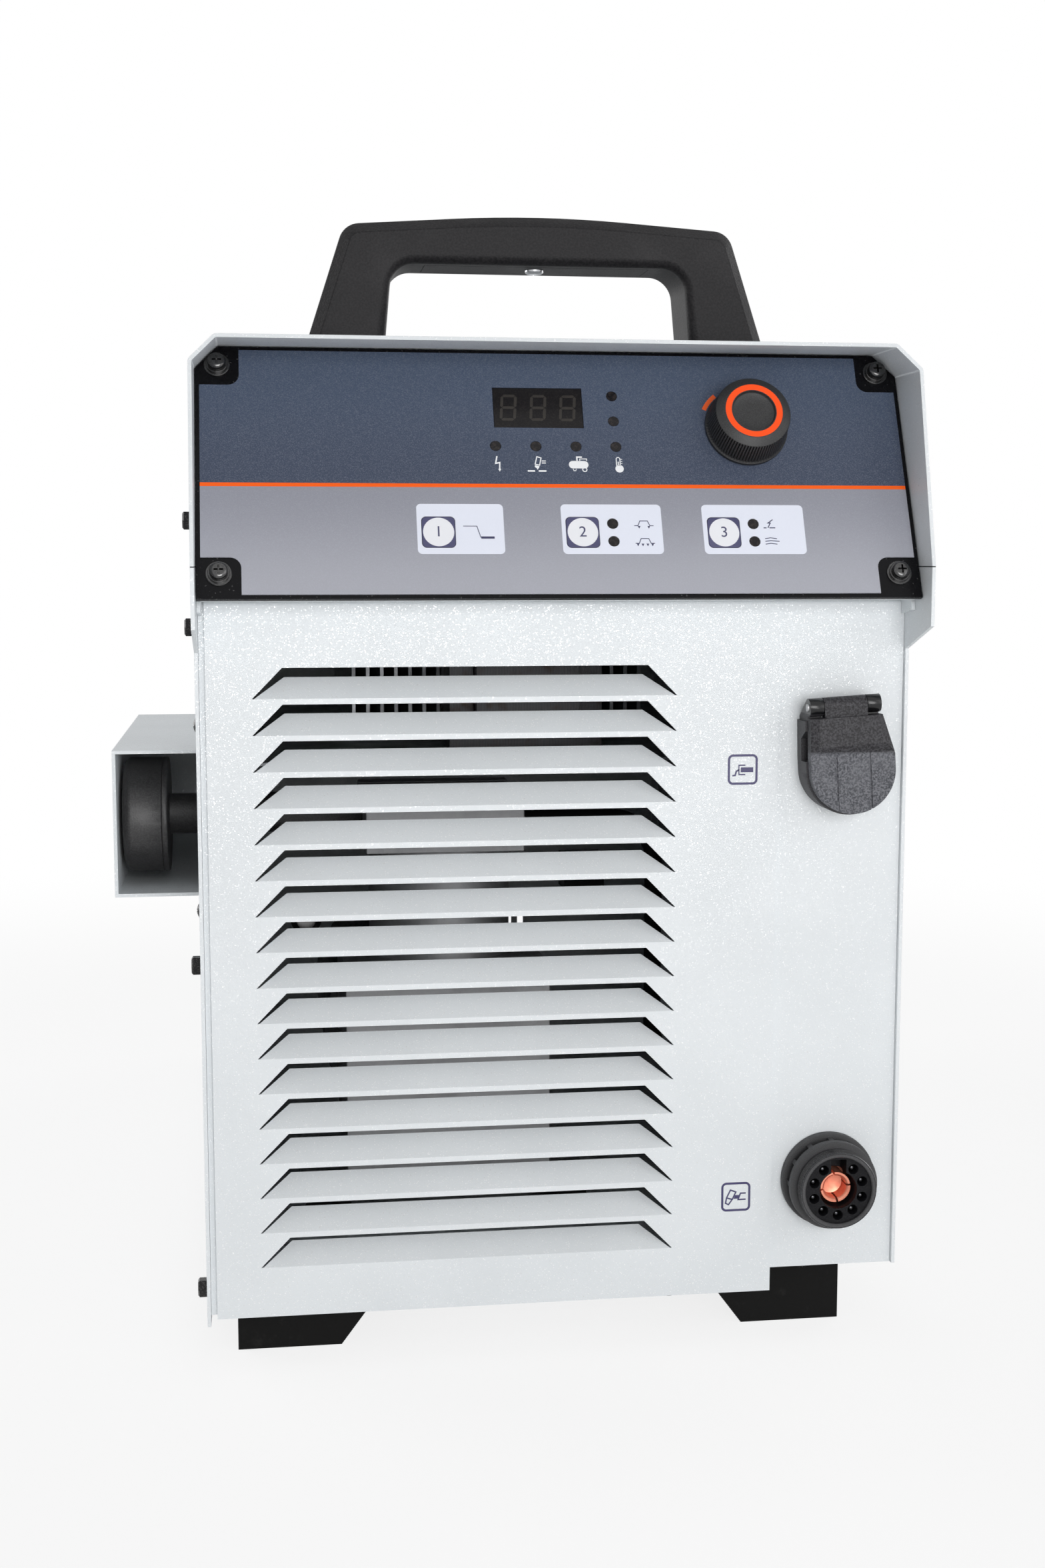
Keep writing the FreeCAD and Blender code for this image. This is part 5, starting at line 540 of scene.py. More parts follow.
# Panel frame and sheet heads. The frame is a bent sheet behind the control plate that covers the gap over the
# front sheets, whose upper edges are rolled back close under the plate's foot.
SHEET_HEAD = 311.65
SHEET_HEAD_FOOT = 304.2
HEAD_BEND = 2.0
HEAD_FLANGE = 1.0
HEAD_THICKNESS = 1.4
HEAD_STEPS = 5
LOUVRE_HEAD = (-124.0, 107.4, -248.03)
FRONT_HEAD = (-126.3, 158.85, -246.53)
LEDGE_FRONT = -262.5
LEDGE_CUT = (-140, 175, LEDGE_FRONT, -246.4, SHEET_HEAD_FOOT, 313.5)
LEDGE = (-124.8, 158.8, LEDGE_FRONT, -245.2, 311.7, 312.7)


def box_mesh(left, right, front, back, low, high):
    """Box between case coordinates in millimetres, as a body in metres."""
    middle = Vector(((left + right) / 2, (front + back) / 2, 0)) * MM
    block = mesh_of(slab_mesh(right - left, back - front, low, high))
    return repeated(block, [metres(middle, RIGHT, BACK, UP)])


def rolled_head(left, right, front):
    """Upper edge of an upright sheet, rolled back along its top."""
    outer = [(front + HEAD_BEND * (1 - math.cos(angle)), SHEET_HEAD - HEAD_BEND * (1 - math.sin(angle)))
             for angle in [math.pi / 2 * k / HEAD_STEPS for k in range(HEAD_STEPS + 1)]]
    inner, under, end = front + HEAD_THICKNESS, SHEET_HEAD - HEAD_THICKNESS, front + HEAD_BEND + HEAD_FLANGE
    outline = ([(front, SHEET_HEAD_FOOT)] + outer
               + [(end, SHEET_HEAD), (end, under), (inner, under), (inner, SHEET_HEAD_FOOT)])
    body = bmesh.new()
    ends = [[body.verts.new((x * MM, y * MM, z * MM)) for y, z in outline] for x in (left, right)]
    body.faces.new(ends[0][::-1])
    body.faces.new(ends[1])
    for k in range(len(outline)):
        body.faces.new((ends[0][k - 1], ends[0][k], ends[1][k], ends[1][k - 1]))
    return body


frame_sheet = bmesh.new()
frame_sheet.from_mesh(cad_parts["panel_frame"].data)
bmesh.ops.remove_doubles(frame_sheet, verts=frame_sheet.verts, dist=WELD_DISTANCE)
frame_shape = bmesh.new()
frame_shape.from_mesh(cut_by(frame_sheet, box_mesh(*LEDGE_CUT)))
frame_shape.from_mesh(mesh_of(box_mesh(*LEDGE)))
new_piece("panel_frame_sheet", frame_shape, case_paint, replaces=["panel_frame"])
new_piece("louvre_sheet_head", rolled_head(*LOUVRE_HEAD), case_paint)
new_piece("front_sheet_head", rolled_head(*FRONT_HEAD), case_paint)


# Seam shade strips. Thin black strips on the side sheets' upper edges, in the seams under the upper cover: a
# dark sheet put where the seams show only shade, with a faint grain.
SEAM_SIDES = ((-127.92, -126.55), (160.55, 161.92))
SEAM_FRONT = -277.85
SEAM_REAR = 270.0
SEAM_LOW = 324.82
SEAM_HIGH = 325.18
seam_shade_strips = bmesh.new()
for left, right in SEAM_SIDES:
    seam_shade_strips.from_mesh(mesh_of(box_mesh(left, right, SEAM_FRONT, SEAM_REAR, SEAM_LOW, SEAM_HIGH)))
# The strips' near-black colour is painted shade in the seams.
seam_shade = Finish("seam_painted_shade")
seam_grain = seam_shade.noise(0.0006, 2.0)
seam_shade_tone = seam_shade.mix(seam_grain, (0.006, 0.006, 0.006), (0.018, 0.018, 0.018))
seam_shade_finish = seam_shade.surface(Base_Color=seam_shade_tone, Roughness=0.8 + seam_grain * 0.1, Specular_IOR_Level=0.1)
new_piece("cover_seam_shade_strips", seam_shade_strips, seam_shade_finish)


# Display. A module soldered to the control board, whose smoked window stands in a cut-out of the plate. The
# three seven-segment figures behind the window are unlit, so their bars only just show.
DISPLAY_MIDDLE = (-7.4, 82.4)
FIGURE_LEVEL = 0.37
DIGIT_PITCH = 12.0
DIGIT_WIDTH = 6.6
DIGIT_HEIGHT = 11.6
DIGIT_SHIFT = 0.5
BAR = 1.15
BAR_GAP = 0.12
DIGIT_LEAN = 0.09

smoked = Finish("smoked_window")
dust = smoked.cells(0.0003)
tone = smoked.mix(smoked.mask(dust, 0.6, 1.0) * 0.25, (0.009, 0.008, 0.009), (0.05, 0.045, 0.038))
dress(smoked.surface(Base_Color=tone, Roughness=0.16 + dust * 0.08, Specular_IOR_Level=0.2),
      "display_module", rounding=0.0001)


def flat_shape(body, outline, level, to_plate, holes=()):
    """Thin printed shape inside an outline of (across, up) points, less its holes."""
    edges = []
    for loop in (outline, *holes):
        corners = [body.verts.new((*point, level)) for point in loop]
        edges += [body.edges.new((corners[k - 1], corners[k])) for k in range(len(corners))]
    made = bmesh.ops.triangle_fill(body, edges=edges, use_beauty=True, use_dissolve=False)
    verts = list({vert for edge in edges for vert in edge.verts})
    faces = [face for face in made["geom"] if isinstance(face, bmesh.types.BMFace)]
    for face in faces:
        face.normal_update()
        if face.normal.z < 0:
            face.normal_flip()
    bmesh.ops.transform(body, matrix=to_plate, verts=verts)


def segment_bars(left, low):
    """Outlines of a figure's seven bars, which lean to the right."""
    w, h, b, g = DIGIT_WIDTH, DIGIT_HEIGHT, BAR, BAR_GAP
    half = b / 2
    flat = [[(half + g, y), (b + g, y + half), (w - b - g, y + half), (w - half - g, y),
             (w - b - g, y - half), (b + g, y - half)] for y in (half, h / 2, h - half)]
    tall = [[(x, y + g), (x + half, y + half + g), (x + half, y + h / 2 - b - g),
             (x, y + h / 2 - half - g), (x - half, y + h / 2 - b - g), (x - half, y + half + g)]
            for x in (half, w - half) for y in (half, h / 2)]
    return [[(left + x + DIGIT_LEAN * y, low + y) for x, y in bar] for bar in flat + tall]


bars = bmesh.new()
for k in (-1, 0, 1):
    for bar in segment_bars(k * DIGIT_PITCH - DIGIT_WIDTH / 2 - DIGIT_SHIFT, -DIGIT_HEIGHT / 2):
        flat_shape(bars, bar, FIGURE_LEVEL, on_plate(*DISPLAY_MIDDLE))
faint = Finish("unlit_segments")
glint = faint.cells(0.0003)
faint_tone = faint.mix(glint * 0.5, (0.030, 0.027, 0.024), (0.050, 0.044, 0.038))
segment_finish = faint.surface(Base_Color=faint_tone, Roughness=0.3, Specular_IOR_Level=0.25)
new_piece("display_figures", bars, segment_finish)


# Indicator lamps. Lenses of smoked plastic over lamps on the control board, pushed through holes in the plate
# until they are flush with the film. All are unlit.
lens = Finish("unlit_lamp_lens")
depth = lens.noise(0.0012, 2.0)
lens_tone = lens.mix(lens.mask(depth, 0.4, 0.7), (0.005, 0.004, 0.005), (0.025, 0.020, 0.019))
dress(lens.surface(Base_Color=lens_tone, Roughness=0.18, Specular_IOR_Level=0.3,
                   Normal=lens.bump(depth, 0.00006, 0.4)), "indicator_leds")


# Print on the film. White line symbols under the status lamps, three pale panels round the keys with navy
# symbols, and the mark where the knob's scale starts.
PRINT_LEVEL = 0.52
OVER_PRINT = 0.54
TOP_PRINT = 0.55
STATUS_FIRST = -25.4
STATUS_PITCH = 16.2
STATUS_UP = 65.3


def ribbon(body, points, width, level, to_plate, closed=False):
    """Line of even width through (across, up) points, mitred at its corners."""
    count = len(points)
    sides = []
    for k, (x, y) in enumerate(points):
        ahead = points[(k + 1) % count] if closed or k < count - 1 else None
        behind = points[k - 1] if closed or k > 0 else None
        normals = []
        for start, end in ((behind, (x, y)), ((x, y), ahead)):
            if start and end:
                run = math.hypot(end[0] - start[0], end[1] - start[1])
                normals.append(((start[1] - end[1]) / run, (end[0] - start[0]) / run))
        if len(normals) == 1:
            normals *= 2
        (ax, ay), (bx, by) = normals
        share = 1 + ax * bx + ay * by
        step = (width / 2 * (ax + bx) / share, width / 2 * (ay + by) / share)
        sides.append([body.verts.new((x + way * step[0], y + way * step[1], level)) for way in (-1, 1)])
    made = [vert for side in sides for vert in side]
    for k in range(count if closed else count - 1):
        first, second = sides[k], sides[(k + 1) % count]
        body.faces.new((first[0], second[0], second[1], first[1]))
    bmesh.ops.transform(body, matrix=to_plate, verts=made)


def ring_points(x, y, radius, steps=24, start=0.0, end=1.0):
    """Points of a circle, or of its part between two shares of a turn."""
    turn = end - start
    count = steps if turn == 1.0 else steps + 1
    return [(x + radius * math.cos(math.tau * (start + turn * k / steps)),
             y + radius * math.sin(math.tau * (start + turn * k / steps))) for k in range(count)]


def rounded_points(left, right, low, high, radius, steps=6):
    """Corner points of a rounded rectangle."""
    corners = ((right - radius, high - radius, 0.0), (left + radius, high - radius, 0.25),
               (left + radius, low + radius, 0.5), (right - radius, low + radius, 0.75))
    return [point for x, y, start in corners
            for point in ring_points(x, y, radius, steps, start, start + 0.25)]


def ink(name, colour, roughness=0.4):
    """Screen-printed ink with a slightly uneven edge to its gloss."""
    paint = Finish(name)
    flow = paint.noise(0.0008, 2.0)
    tone = paint.mix(flow * 0.12, colour, tuple(0.8 * c for c in colour))
    return paint.surface(Base_Color=tone, Roughness=roughness + flow * 0.1)


marks = bmesh.new()
bolt, torch, tank, heat = [on_plate(STATUS_FIRST + k * STATUS_PITCH, STATUS_UP) for k in range(4)]
ribbon(marks, [(0.3, -4.5), (-0.35, -7.7), (1.3, -7.3), (1.15, -10.2)], 0.55, PRINT_LEVEL, bolt)
flat_shape(marks, [(0.55, -10.1), (1.75, -10.1), (1.12, -11.3)], PRINT_LEVEL, bolt)
ribbon(marks, [(0.1, -4.6), (1.75, -5.2), (1.0, -8.4), (-0.75, -7.9)], 0.42, PRINT_LEVEL, torch,
       closed=True)
flat_shape(marks, [(-0.85, -8.3), (0.95, -8.85), (0.7, -9.5), (0.1, -10.4), (-0.35, -9.6), (-1.0, -9.1)],
           PRINT_LEVEL, torch)
for up in (-6.5, -7.4):
    ribbon(marks, [(1.95, up), (3.6, up)], 0.4, PRINT_LEVEL, torch)
for start, end in ((-3.9, -1.0), (0.5, 3.6)):
    ribbon(marks, [(start, -10.9), (end, -10.9)], 0.65, PRINT_LEVEL, torch)
flat_shape(marks, rounded_points(-3.4, 4.5, -9.7, -6.4, 1.6), PRINT_LEVEL, tank)
ribbon(marks, [(0.0, -6.3), (0.0, -4.7), (2.1, -4.7)], 0.6, PRINT_LEVEL, tank)
ribbon(marks, [(1.1, -6.3), (1.1, -5.5), (3.9, -5.5), (3.9, -6.3)], 0.35, PRINT_LEVEL, tank)
ribbon(marks, ring_points(2.9, -10.2, 0.85), 0.4, PRINT_LEVEL + 0.01, tank, closed=True)
ribbon(marks, [(-1.8, -9.9), (-1.5, -10.7), (-0.8, -10.7), (-0.5, -9.9)], 0.3, PRINT_LEVEL, tank)
flat_shape(marks, ring_points(0.8, -9.7, 1.7), PRINT_LEVEL, heat)
ribbon(marks, ring_points(0.45, -5.5, 0.75, 12, 0.0, 0.5) + [(-0.3, -8.3), (1.2, -8.3)], 0.36, PRINT_LEVEL,
       heat, closed=True)
ribbon(marks, [(0.45, -6.6), (0.45, -8.2)], 0.4, PRINT_LEVEL + 0.01, heat)
for up in (-5.6, -6.5, -7.4):
    ribbon(marks, [(1.45, up), (2.1, up)], 0.26, PRINT_LEVEL, heat)
new_piece("status_symbols", marks, ink("white_print", (0.85, 0.86, 0.88)))

KEY_UP = 27.8
KEY_FIRST = -49.7
KEY_PITCH = 57.0
KEY_HOLE = 13.4
KEY_HOLE_ROUNDING = 2.0
KEY_LAMP_ACROSS = 12.2
KEY_LAMP_STEP = 3.8
LAMP_HOLE = 2.3
PALE_LOW = 18.5
PALE_HIGH = 39.9
PALE_ROUNDING = 1.8
PALE_SIDES = ((-58.1, -23.9), (-1.0, 39.3), (55.8, 97.4))
PALE_LAMPS = (0, 2, 2)
pale = bmesh.new()
for k, ((left, right), lamps) in enumerate(zip(PALE_SIDES, PALE_LAMPS)):
    middle = KEY_FIRST + k * KEY_PITCH
    half = KEY_HOLE / 2
    holes = [rounded_points(middle - half, middle + half, KEY_UP - half, KEY_UP + half, KEY_HOLE_ROUNDING)]
    holes += [ring_points(middle + KEY_LAMP_ACROSS, KEY_UP + side * KEY_LAMP_STEP, LAMP_HOLE)
              for side in (-1, 1)[:lamps]]
    panel = rounded_points(left, right, PALE_LOW, PALE_HIGH, PALE_ROUNDING)
    flat_shape(pale, panel, PRINT_LEVEL, on_plate(), holes)
new_piece("key_panels", pale, ink("pale_print", (0.77, 0.80, 0.90), 0.36))

NAVY = (0.030, 0.030, 0.085)
FLOW_ACROSS = -34.0
GRID_ACROSS = 32.0
CUT_ACROSS = 84.0
signs = bmesh.new()
flow = on_plate(FLOW_ACROSS, KEY_UP)
ribbon(signs, [(-6.0, 2.6), (-0.6, 2.6), (0.8, -2.3)], 0.3, OVER_PRINT, flow)
ribbon(signs, [(0.9, -2.3), (6.2, -2.3)], 0.95, TOP_PRINT, flow)
for side, teeth in ((1, 1), (-1, 2)):
    grid = on_plate(GRID_ACROSS, KEY_UP + side * KEY_LAMP_STEP)
    ribbon(signs, [(-3.9, -0.9), (-2.4, -0.9), (-1.5, 1.2), (1.5, 1.2), (2.4, -0.9), (3.9, -0.9)], 0.32,
           OVER_PRINT, grid)
    for k in range(2 * teeth):
        x = (k - (2 * teeth - 1) / 2) * (3.9 / teeth)
        flat_shape(signs, [(x - 0.55, -1.0), (x + 0.55, -1.0), (x, -2.2)], TOP_PRINT, grid)
arc = on_plate(CUT_ACROSS, KEY_UP + KEY_LAMP_STEP)
ribbon(signs, [(-1.6, -1.7), (-0.5, 0.4), (-1.4, 0.4), (0.6, 1.9)], 0.4, OVER_PRINT, arc)
ribbon(signs, [(-3.4, -1.7), (-2.2, -1.7)], 0.45, OVER_PRINT, arc)
ribbon(signs, [(-1.0, -1.7), (1.4, -1.7)], 0.45, TOP_PRINT, arc)
air = on_plate(CUT_ACROSS, KEY_UP - KEY_LAMP_STEP)
for up, end in ((1.2, 1.6), (0.0, 2.6), (-1.2, 1.6)):
    ribbon(signs, [(-3.2, up), (-1.0, up + 0.35), (end, up)], 0.35, OVER_PRINT, air)
new_piece("key_panel_signs", signs, ink("navy_print", NAVY))

KNOB_MIDDLE = (77.3, 74.1)
MARK_OUTER = 19.4
MARK_INNER = 17.6
MARK_START = 0.358
MARK_END = 0.428
outer, inner = [ring_points(0, 0, radius, 10, MARK_START, MARK_END) for radius in (MARK_OUTER, MARK_INNER)]
scale_mark = bmesh.new()
flat_shape(scale_mark, outer + inner[::-1], PRINT_LEVEL, on_plate(*KNOB_MIDDLE))
new_piece("knob_scale_mark", scale_mark, ink("orange_print", FILM_ORANGE))


# Function keys. Navy keys moulded in soft plastic, flush with the film over switches on the control board.
# Each is printed with a white disc and its number.
DISC_LEVEL = 0.72
DISC_RADIUS = 6.1
FIGURE_SIZE = 6.4
KEY_FIGURE_LEVEL = 0.74
key_finish = Finish("navy_key")
soft = key_finish.noise(0.0007, 2.0)
key_tone = key_finish.mix(soft * 0.3, (0.055, 0.055, 0.13), (0.075, 0.075, 0.16))
dress(key_finish.surface(Base_Color=key_tone, Roughness=0.4 + soft * 0.1), "button_f1", "button_f2",
      "button_f3", rounding=0.0002)
disc_finish = ink("white_key_disc", (0.82, 0.83, 0.87), 0.34)
figure_finish = ink("navy_key_figure", (0.05, 0.05, 0.12), 0.36)
for number in (1, 2, 3):
    key_place = on_plate(KEY_FIRST + KEY_PITCH * (number - 1), KEY_UP)
    disc = bmesh.new()
    flat_shape(disc, ring_points(0, 0, DISC_RADIUS, 48), DISC_LEVEL, key_place)
    new_piece("key_disc_%d" % number, disc, disc_finish, rides="key_f%d" % number)
    letters = bpy.data.curves.new("figure", "FONT")
    letters.body = str(number)
    letters.size = FIGURE_SIZE
    letters.align_x = "CENTER"
    letters.align_y = "CENTER"
    holder = bpy.data.objects.new("figure", letters)
    bpy.context.scene.collection.objects.link(holder)
    shape = bpy.data.meshes.new_from_object(holder.evaluated_get(bpy.context.evaluated_depsgraph_get()))
    bpy.data.objects.remove(holder)
    figure = bmesh.new()
    figure.from_mesh(shape)
    bmesh.ops.transform(figure, matrix=key_place @ Matrix.Translation((0, 0, KEY_FIGURE_LEVEL)),
                        verts=figure.verts)
    new_piece("key_figure_%d" % number, figure, figure_finish, rides="key_f%d" % number)


# Knob. Black moulded plastic with a fluted flank, a satin orange ring pressed in and a slightly dished cap,
# on the encoder's steel shaft.
def moulded_black(name, colour, grain_size, roughness=0.5, grain_depth=0.00006, worn=(0.09, 0.09, 0.09),
                  sheen=0.5):
    """Black thermoplastic from a spark-eroded mould: fine grain, with a faint bloom in places."""
    body = Finish(name)
    grain = body.noise(grain_size, 2.0, 0.65)
    bloom = body.mask(body.noise(0.03, 3.0), 0.45, 0.8)
    tone = body.mix(bloom * 0.12 + body.mask(grain, 0.35, 0.7) * 0.22, colour, worn)
    return body.surface(Base_Color=tone, Roughness=roughness + grain * 0.12 - bloom * 0.05,
                        Specular_IOR_Level=sheen, Normal=body.bump(grain, grain_depth, 0.6))


FLUTE_COUNT = 84
FLUTE_DEPTH = 0.7
FLUTE_LOW = 3.2
FLUTE_HIGH = 13.6
FLANK_INSIDE = 15.0
KNOB_UNDERSIDE = [(0, 4.6), (7.5, 4.6), (7.5, 1.0), (16.8, 1.0)]
KNOB_FLANK = [(17.0, 1.2), (17.0, 2.4), (16.5, 2.8), (16.45, 3.3), (15.35, 13.5)]
KNOB_SHOULDER = [(15.2, 13.75), (14.9, 13.95), (12.1, 15.42), (11.85, 15.5), (11.65, 15.5)]
RING_GROOVE = [(11.65, 14.5), (9.15, 14.5), (9.15, 15.42), (8.8, 15.42)]
KNOB_CAP = [(8.6, 14.3), (8.2, 14.05), (4.0, 13.85), (0, 13.8)]
knob_body = turned(KNOB_UNDERSIDE + KNOB_FLANK + KNOB_SHOULDER + RING_GROOVE + KNOB_CAP,
                   steps=4 * FLUTE_COUNT)
for vert in knob_body.verts:
    radius = math.hypot(vert.co.x, vert.co.y)
    groove = round(math.atan2(vert.co.y, vert.co.x) / math.tau * 4 * FLUTE_COUNT) % 4 == 0
    if groove and FLUTE_LOW < vert.co.z < FLUTE_HIGH and radius > FLANK_INSIDE:
        vert.co.xy *= 1 - FLUTE_DEPTH / radius
knob_plastic = moulded_black("knob_plastic", (0.010, 0.010, 0.011), grain_size=0.00045, roughness=0.42,
                             sheen=0.45)
new_piece("fluted_knob", repeated(mesh_of(knob_body), [on_plate(*KNOB_MIDDLE)]), knob_plastic,
          rides="knob", replaces=["knob"], crease=50.0)
ring_finish = Finish("orange_ring")
satin = ring_finish.noise(0.0009, 2.0)
ring_tone = ring_finish.mix(satin * 0.25, (1.0, 0.085, 0.006), (0.86, 0.065, 0.005))
dress(ring_finish.surface(Base_Color=ring_tone, Roughness=0.3 + satin * 0.1, Specular_IOR_Level=0.35),
      "knob_ring", rounding=0.0001)


def steel(name, colour, size, stretch, roughness=0.3):
    """Bare metal with fine tool marks that run one way, and a little dulling."""
    metal = Finish(name)
    marks = metal.noise(size, 3.0, 0.6, stretch)
    dull = metal.mask(metal.noise(0.02, 3.0), 0.4, 0.7)
    tone = metal.mix(marks * 0.25 + dull * 0.2, colour, tuple(0.6 * c for c in colour))
    return metal.surface(Base_Color=tone, Metallic=1.0, Roughness=roughness + marks * 0.15 + dull * 0.1,
                         Normal=metal.bump(marks, 0.00002, 0.5))


turned_steel = steel("turned_steel", (0.55, 0.55, 0.56), 0.0006, (1.0, 6.0, 1.0))
dress(turned_steel, "encoder", "encoder_shaft", "lid_hinge_pin", "compressor_shaft", rounding=0.0001)


# Circuit boards. Glass-fibre board etched with copper tracks under green lacquer, with the weave and the
# tinned pads just visible. One stands behind the control plate and one over the heat sinks.
board = Finish("lacquered_board")
weave = board.cells(0.0011, 0.15)
pads = board.mask(board.cells(0.0035), 0.86, 0.88)
tracks = board.mask(board.noise(0.004, 1.0, 0.4, (1.0, 0.25, 1.0)), 0.5, 0.53)
lacquer = board.mix(tracks * 0.6 + weave * 0.2, (0.010, 0.095, 0.040), (0.020, 0.17, 0.07))
dress(board.surface(Base_Color=board.mix(pads, lacquer, (0.55, 0.54, 0.50)), Metallic=pads * 0.8,
                    Roughness=0.3 + weave * 0.08, Normal=board.bump(tracks + weave * 0.3, 0.00004, 0.5)),
      "control_board", "power_board", rounding=0.0002)


# Carrying handle. Glass-filled black plastic with a grained surface and broad rounded rims, closed under the
# grip by an insert of the same plastic.
HANDLE_BLACK = (0.006, 0.0055, 0.0065)
HANDLE_WORN = (0.060, 0.057, 0.060)
handle_plastic = moulded_black("handle_plastic", HANDLE_BLACK, grain_size=0.0009, roughness=0.46,
                               grain_depth=0.0003, worn=HANDLE_WORN, sheen=0.2)
dress(handle_plastic, "handle_shell", rounding=0.0006)
dress(handle_plastic, "handle_insert", rounding=0.0004)


# Bright screws. Zinc-plated pan heads with a cross recess: up into the handle and its insert, up through the
# feet, and into the fan from behind.
PAN_RADIUS = 4.0
PAN_HEIGHT = 2.8
PAN_HEAD = [(PAN_RADIUS, 0.0), (PAN_RADIUS, 1.7), (3.7, 2.3), (3.1, 2.65), (2.2, PAN_HEIGHT),
            (0, PAN_HEIGHT)]
PAN_RECESS = (2.0, 0.9, 1.7)
LONG_SHANK = 2.5
FAN_SHANK = 2.0
SHORT_SHANK = 1.5
SHORT_SCREW = 10.0
bright_zinc = steel("bright_zinc_screws", (0.66, 0.67, 0.69), 0.0008, (1.0, 1.0, 1.0), roughness=0.24)


def pan_screw(shank, length):
    """Screw with its seat at zero and its head above it."""
    return cut_by(turned([(0, -length), (shank, -length), (shank, 0.0)] + PAN_HEAD, steps=32),
                  *cross_recess(*PAN_RECESS, PAN_HEIGHT))


def screws_down(node):
    """Pan screws whose heads face down, where a CAD node has its screws. The short ones are thinner."""
    whole = bmesh.new()
    for low, high in solids_of(node):
        length = (high.z - low.z) / MM - PAN_HEIGHT
        shank = SHORT_SHANK if length < SHORT_SCREW else LONG_SHANK
        seat = ((low.x + high.x) / 2, (low.y + high.y) / 2, low.z + PAN_HEIGHT * MM)
        add_copy(whole, pan_screw(shank, length), metres(seat, RIGHT, -BACK, -UP))
    return whole


new_piece("handle_pan_screws", screws_down("handle_screws"), bright_zinc,
          replaces=["handle_screws"])
new_piece("foot_pan_screws", screws_down("foot_screws"), bright_zinc,
          replaces=["foot_screws"])
whole = bmesh.new()
for low, high in solids_of("fan_screws"):
    length = (high.y - low.y) / MM - PAN_HEIGHT
    seat = ((low.x + high.x) / 2, high.y - PAN_HEIGHT * MM, (low.z + high.z) / 2)
    add_copy(whole, pan_screw(FAN_SHANK, length), metres(seat, -RIGHT, UP, BACK))
new_piece("fan_pan_screws", whole, bright_zinc, replaces=["fan_screws"])


# Feet. Blocks of black rubber, moulded with a sloped inner side and screwed up into the pan. The compressor's
# mounts and its air hose are the same rubber.
rubber = Finish("moulded_rubber")
skin = rubber.noise(0.0016, 3.0, 0.6)
scuff = rubber.mask(rubber.noise(0.012, 4.0, 0.7), 0.58, 0.75)
rubber_tone = rubber.mix(scuff * 0.12 + skin * 0.06, (0.004, 0.004, 0.004), (0.07, 0.068, 0.065))
dress(rubber.surface(Base_Color=rubber_tone, Roughness=0.62 + skin * 0.12 + scuff * 0.1,
                     Specular_IOR_Level=0.1, Normal=rubber.bump(skin, 0.0001, 0.5)),
      "feet", "compressor_mounts", "air_hose", rounding=0.0008)


# Printed signs. Beside each socket a rounded frame in navy screen print on the louvre panel, with a work
# clamp in the upper one and a torch in the lower one.
PANEL_FACE = -0.248
SIGN_HALF = 5.8
SIGN_RADIUS = 1.7
SIGN_LINE = 0.95
SIGN_LEVEL = 0.03
WORK_SIGN = (92.7, 242.3)
TORCH_SIGN = (92.2, 61.5)


def on_panel(across, up):
    """Matrix from millimetres on the louvre panel, about a point of it, to metres."""
    return metres(Vector((across * MM, PANEL_FACE, up * MM)), RIGHT, UP, -BACK)


signs = bmesh.new()
clamp = on_panel(*WORK_SIGN)
torch = on_panel(*TORCH_SIGN)
sign_frame = rounded_points(-SIGN_HALF, SIGN_HALF, -SIGN_HALF, SIGN_HALF, SIGN_RADIUS)
for sign in (clamp, torch):
    ribbon(signs, sign_frame, SIGN_LINE, SIGN_LEVEL, sign, closed=True)
ribbon(signs, [(1.1, 1.75), (-1.6, 1.75), (-1.6, -2.05), (1.1, -2.05)], 0.52, SIGN_LEVEL, clamp)
flat_shape(signs, [(-0.9, -1.15), (4.4, -1.15), (4.4, 0.9), (-0.9, 0.9)], SIGN_LEVEL, clamp)
ribbon(signs, [(-4.4, -2.5), (-3.2, -2.4), (-2.7, -0.7), (-1.6, -0.1)], 0.65, SIGN_LEVEL, clamp)
ribbon(signs, [(-2.3, 3.0), (0.0, 2.05), (-1.5, -1.1), (-3.1, -3.3), (-4.4, -2.65), (-3.95, -0.3)], 0.6,
       SIGN_LEVEL, torch, closed=True)
ribbon(signs, [(-3.9, -0.35), (-1.6, -1.1)], 0.6, SIGN_LEVEL + 0.01, torch)
flat_shape(signs, [(-1.0, -0.9), (1.4, -0.9), (1.9, 0.7), (-0.3, 0.7)], SIGN_LEVEL + 0.02, torch)
ribbon(signs, [(4.3, 1.45), (2.0, 1.45), (1.0, -1.3), (4.3, -1.25)], 0.6, SIGN_LEVEL, torch)
new_piece("socket_signs", signs, ink("navy_panel_print", (0.040, 0.034, 0.115), 0.35))


# Intake filter. A black moulded housing with slots round its face, pushed on the compressor's intake pipe
# under the folded guard.
filter_plastic = moulded_black("filter_plastic", (0.016, 0.015, 0.016), grain_size=0.0007, roughness=0.36,
                               grain_depth=0.00012, worn=(0.12, 0.12, 0.12))
dress(filter_plastic, "filter_body", "filter_cover", rounding=0.0004)


# Torch socket. Black glass-filled nylon with two flanges, a ribbed neck and a threaded nose, clamped by a nut
# behind the sheet. A glossier insert holds the pins, and the split contact in the middle is bare copper.
TORCH_AXIS = (0.1318, 0.0678)
NOSE_END = -0.2650
BARREL_RADIUS = 16.0
BARREL_BORE = 14.2
CORE_RADIUS = 16.2
FRONT_FLANGE = (18.7, -10.5, -7.0)
REAR_FLANGE = (20.0, -18.5, -15.0)
BARREL_BACK = -40.5
FLANGE_ROUNDING = 0.4
RIB_COUNT = 12
RIB_TOP = 18.2
RIB_WIDTH = 2.0
RIB_ROOT = 0.3


def in_socket(depth, across=0.0, up=0.0):
    """Matrix from millimetres about the torch socket's axis, at a depth in metres, to metres."""
    return metres(Vector((TORCH_AXIS[0] + across * MM, depth, TORCH_AXIS[1] + up * MM)), RIGHT, UP, -BACK)


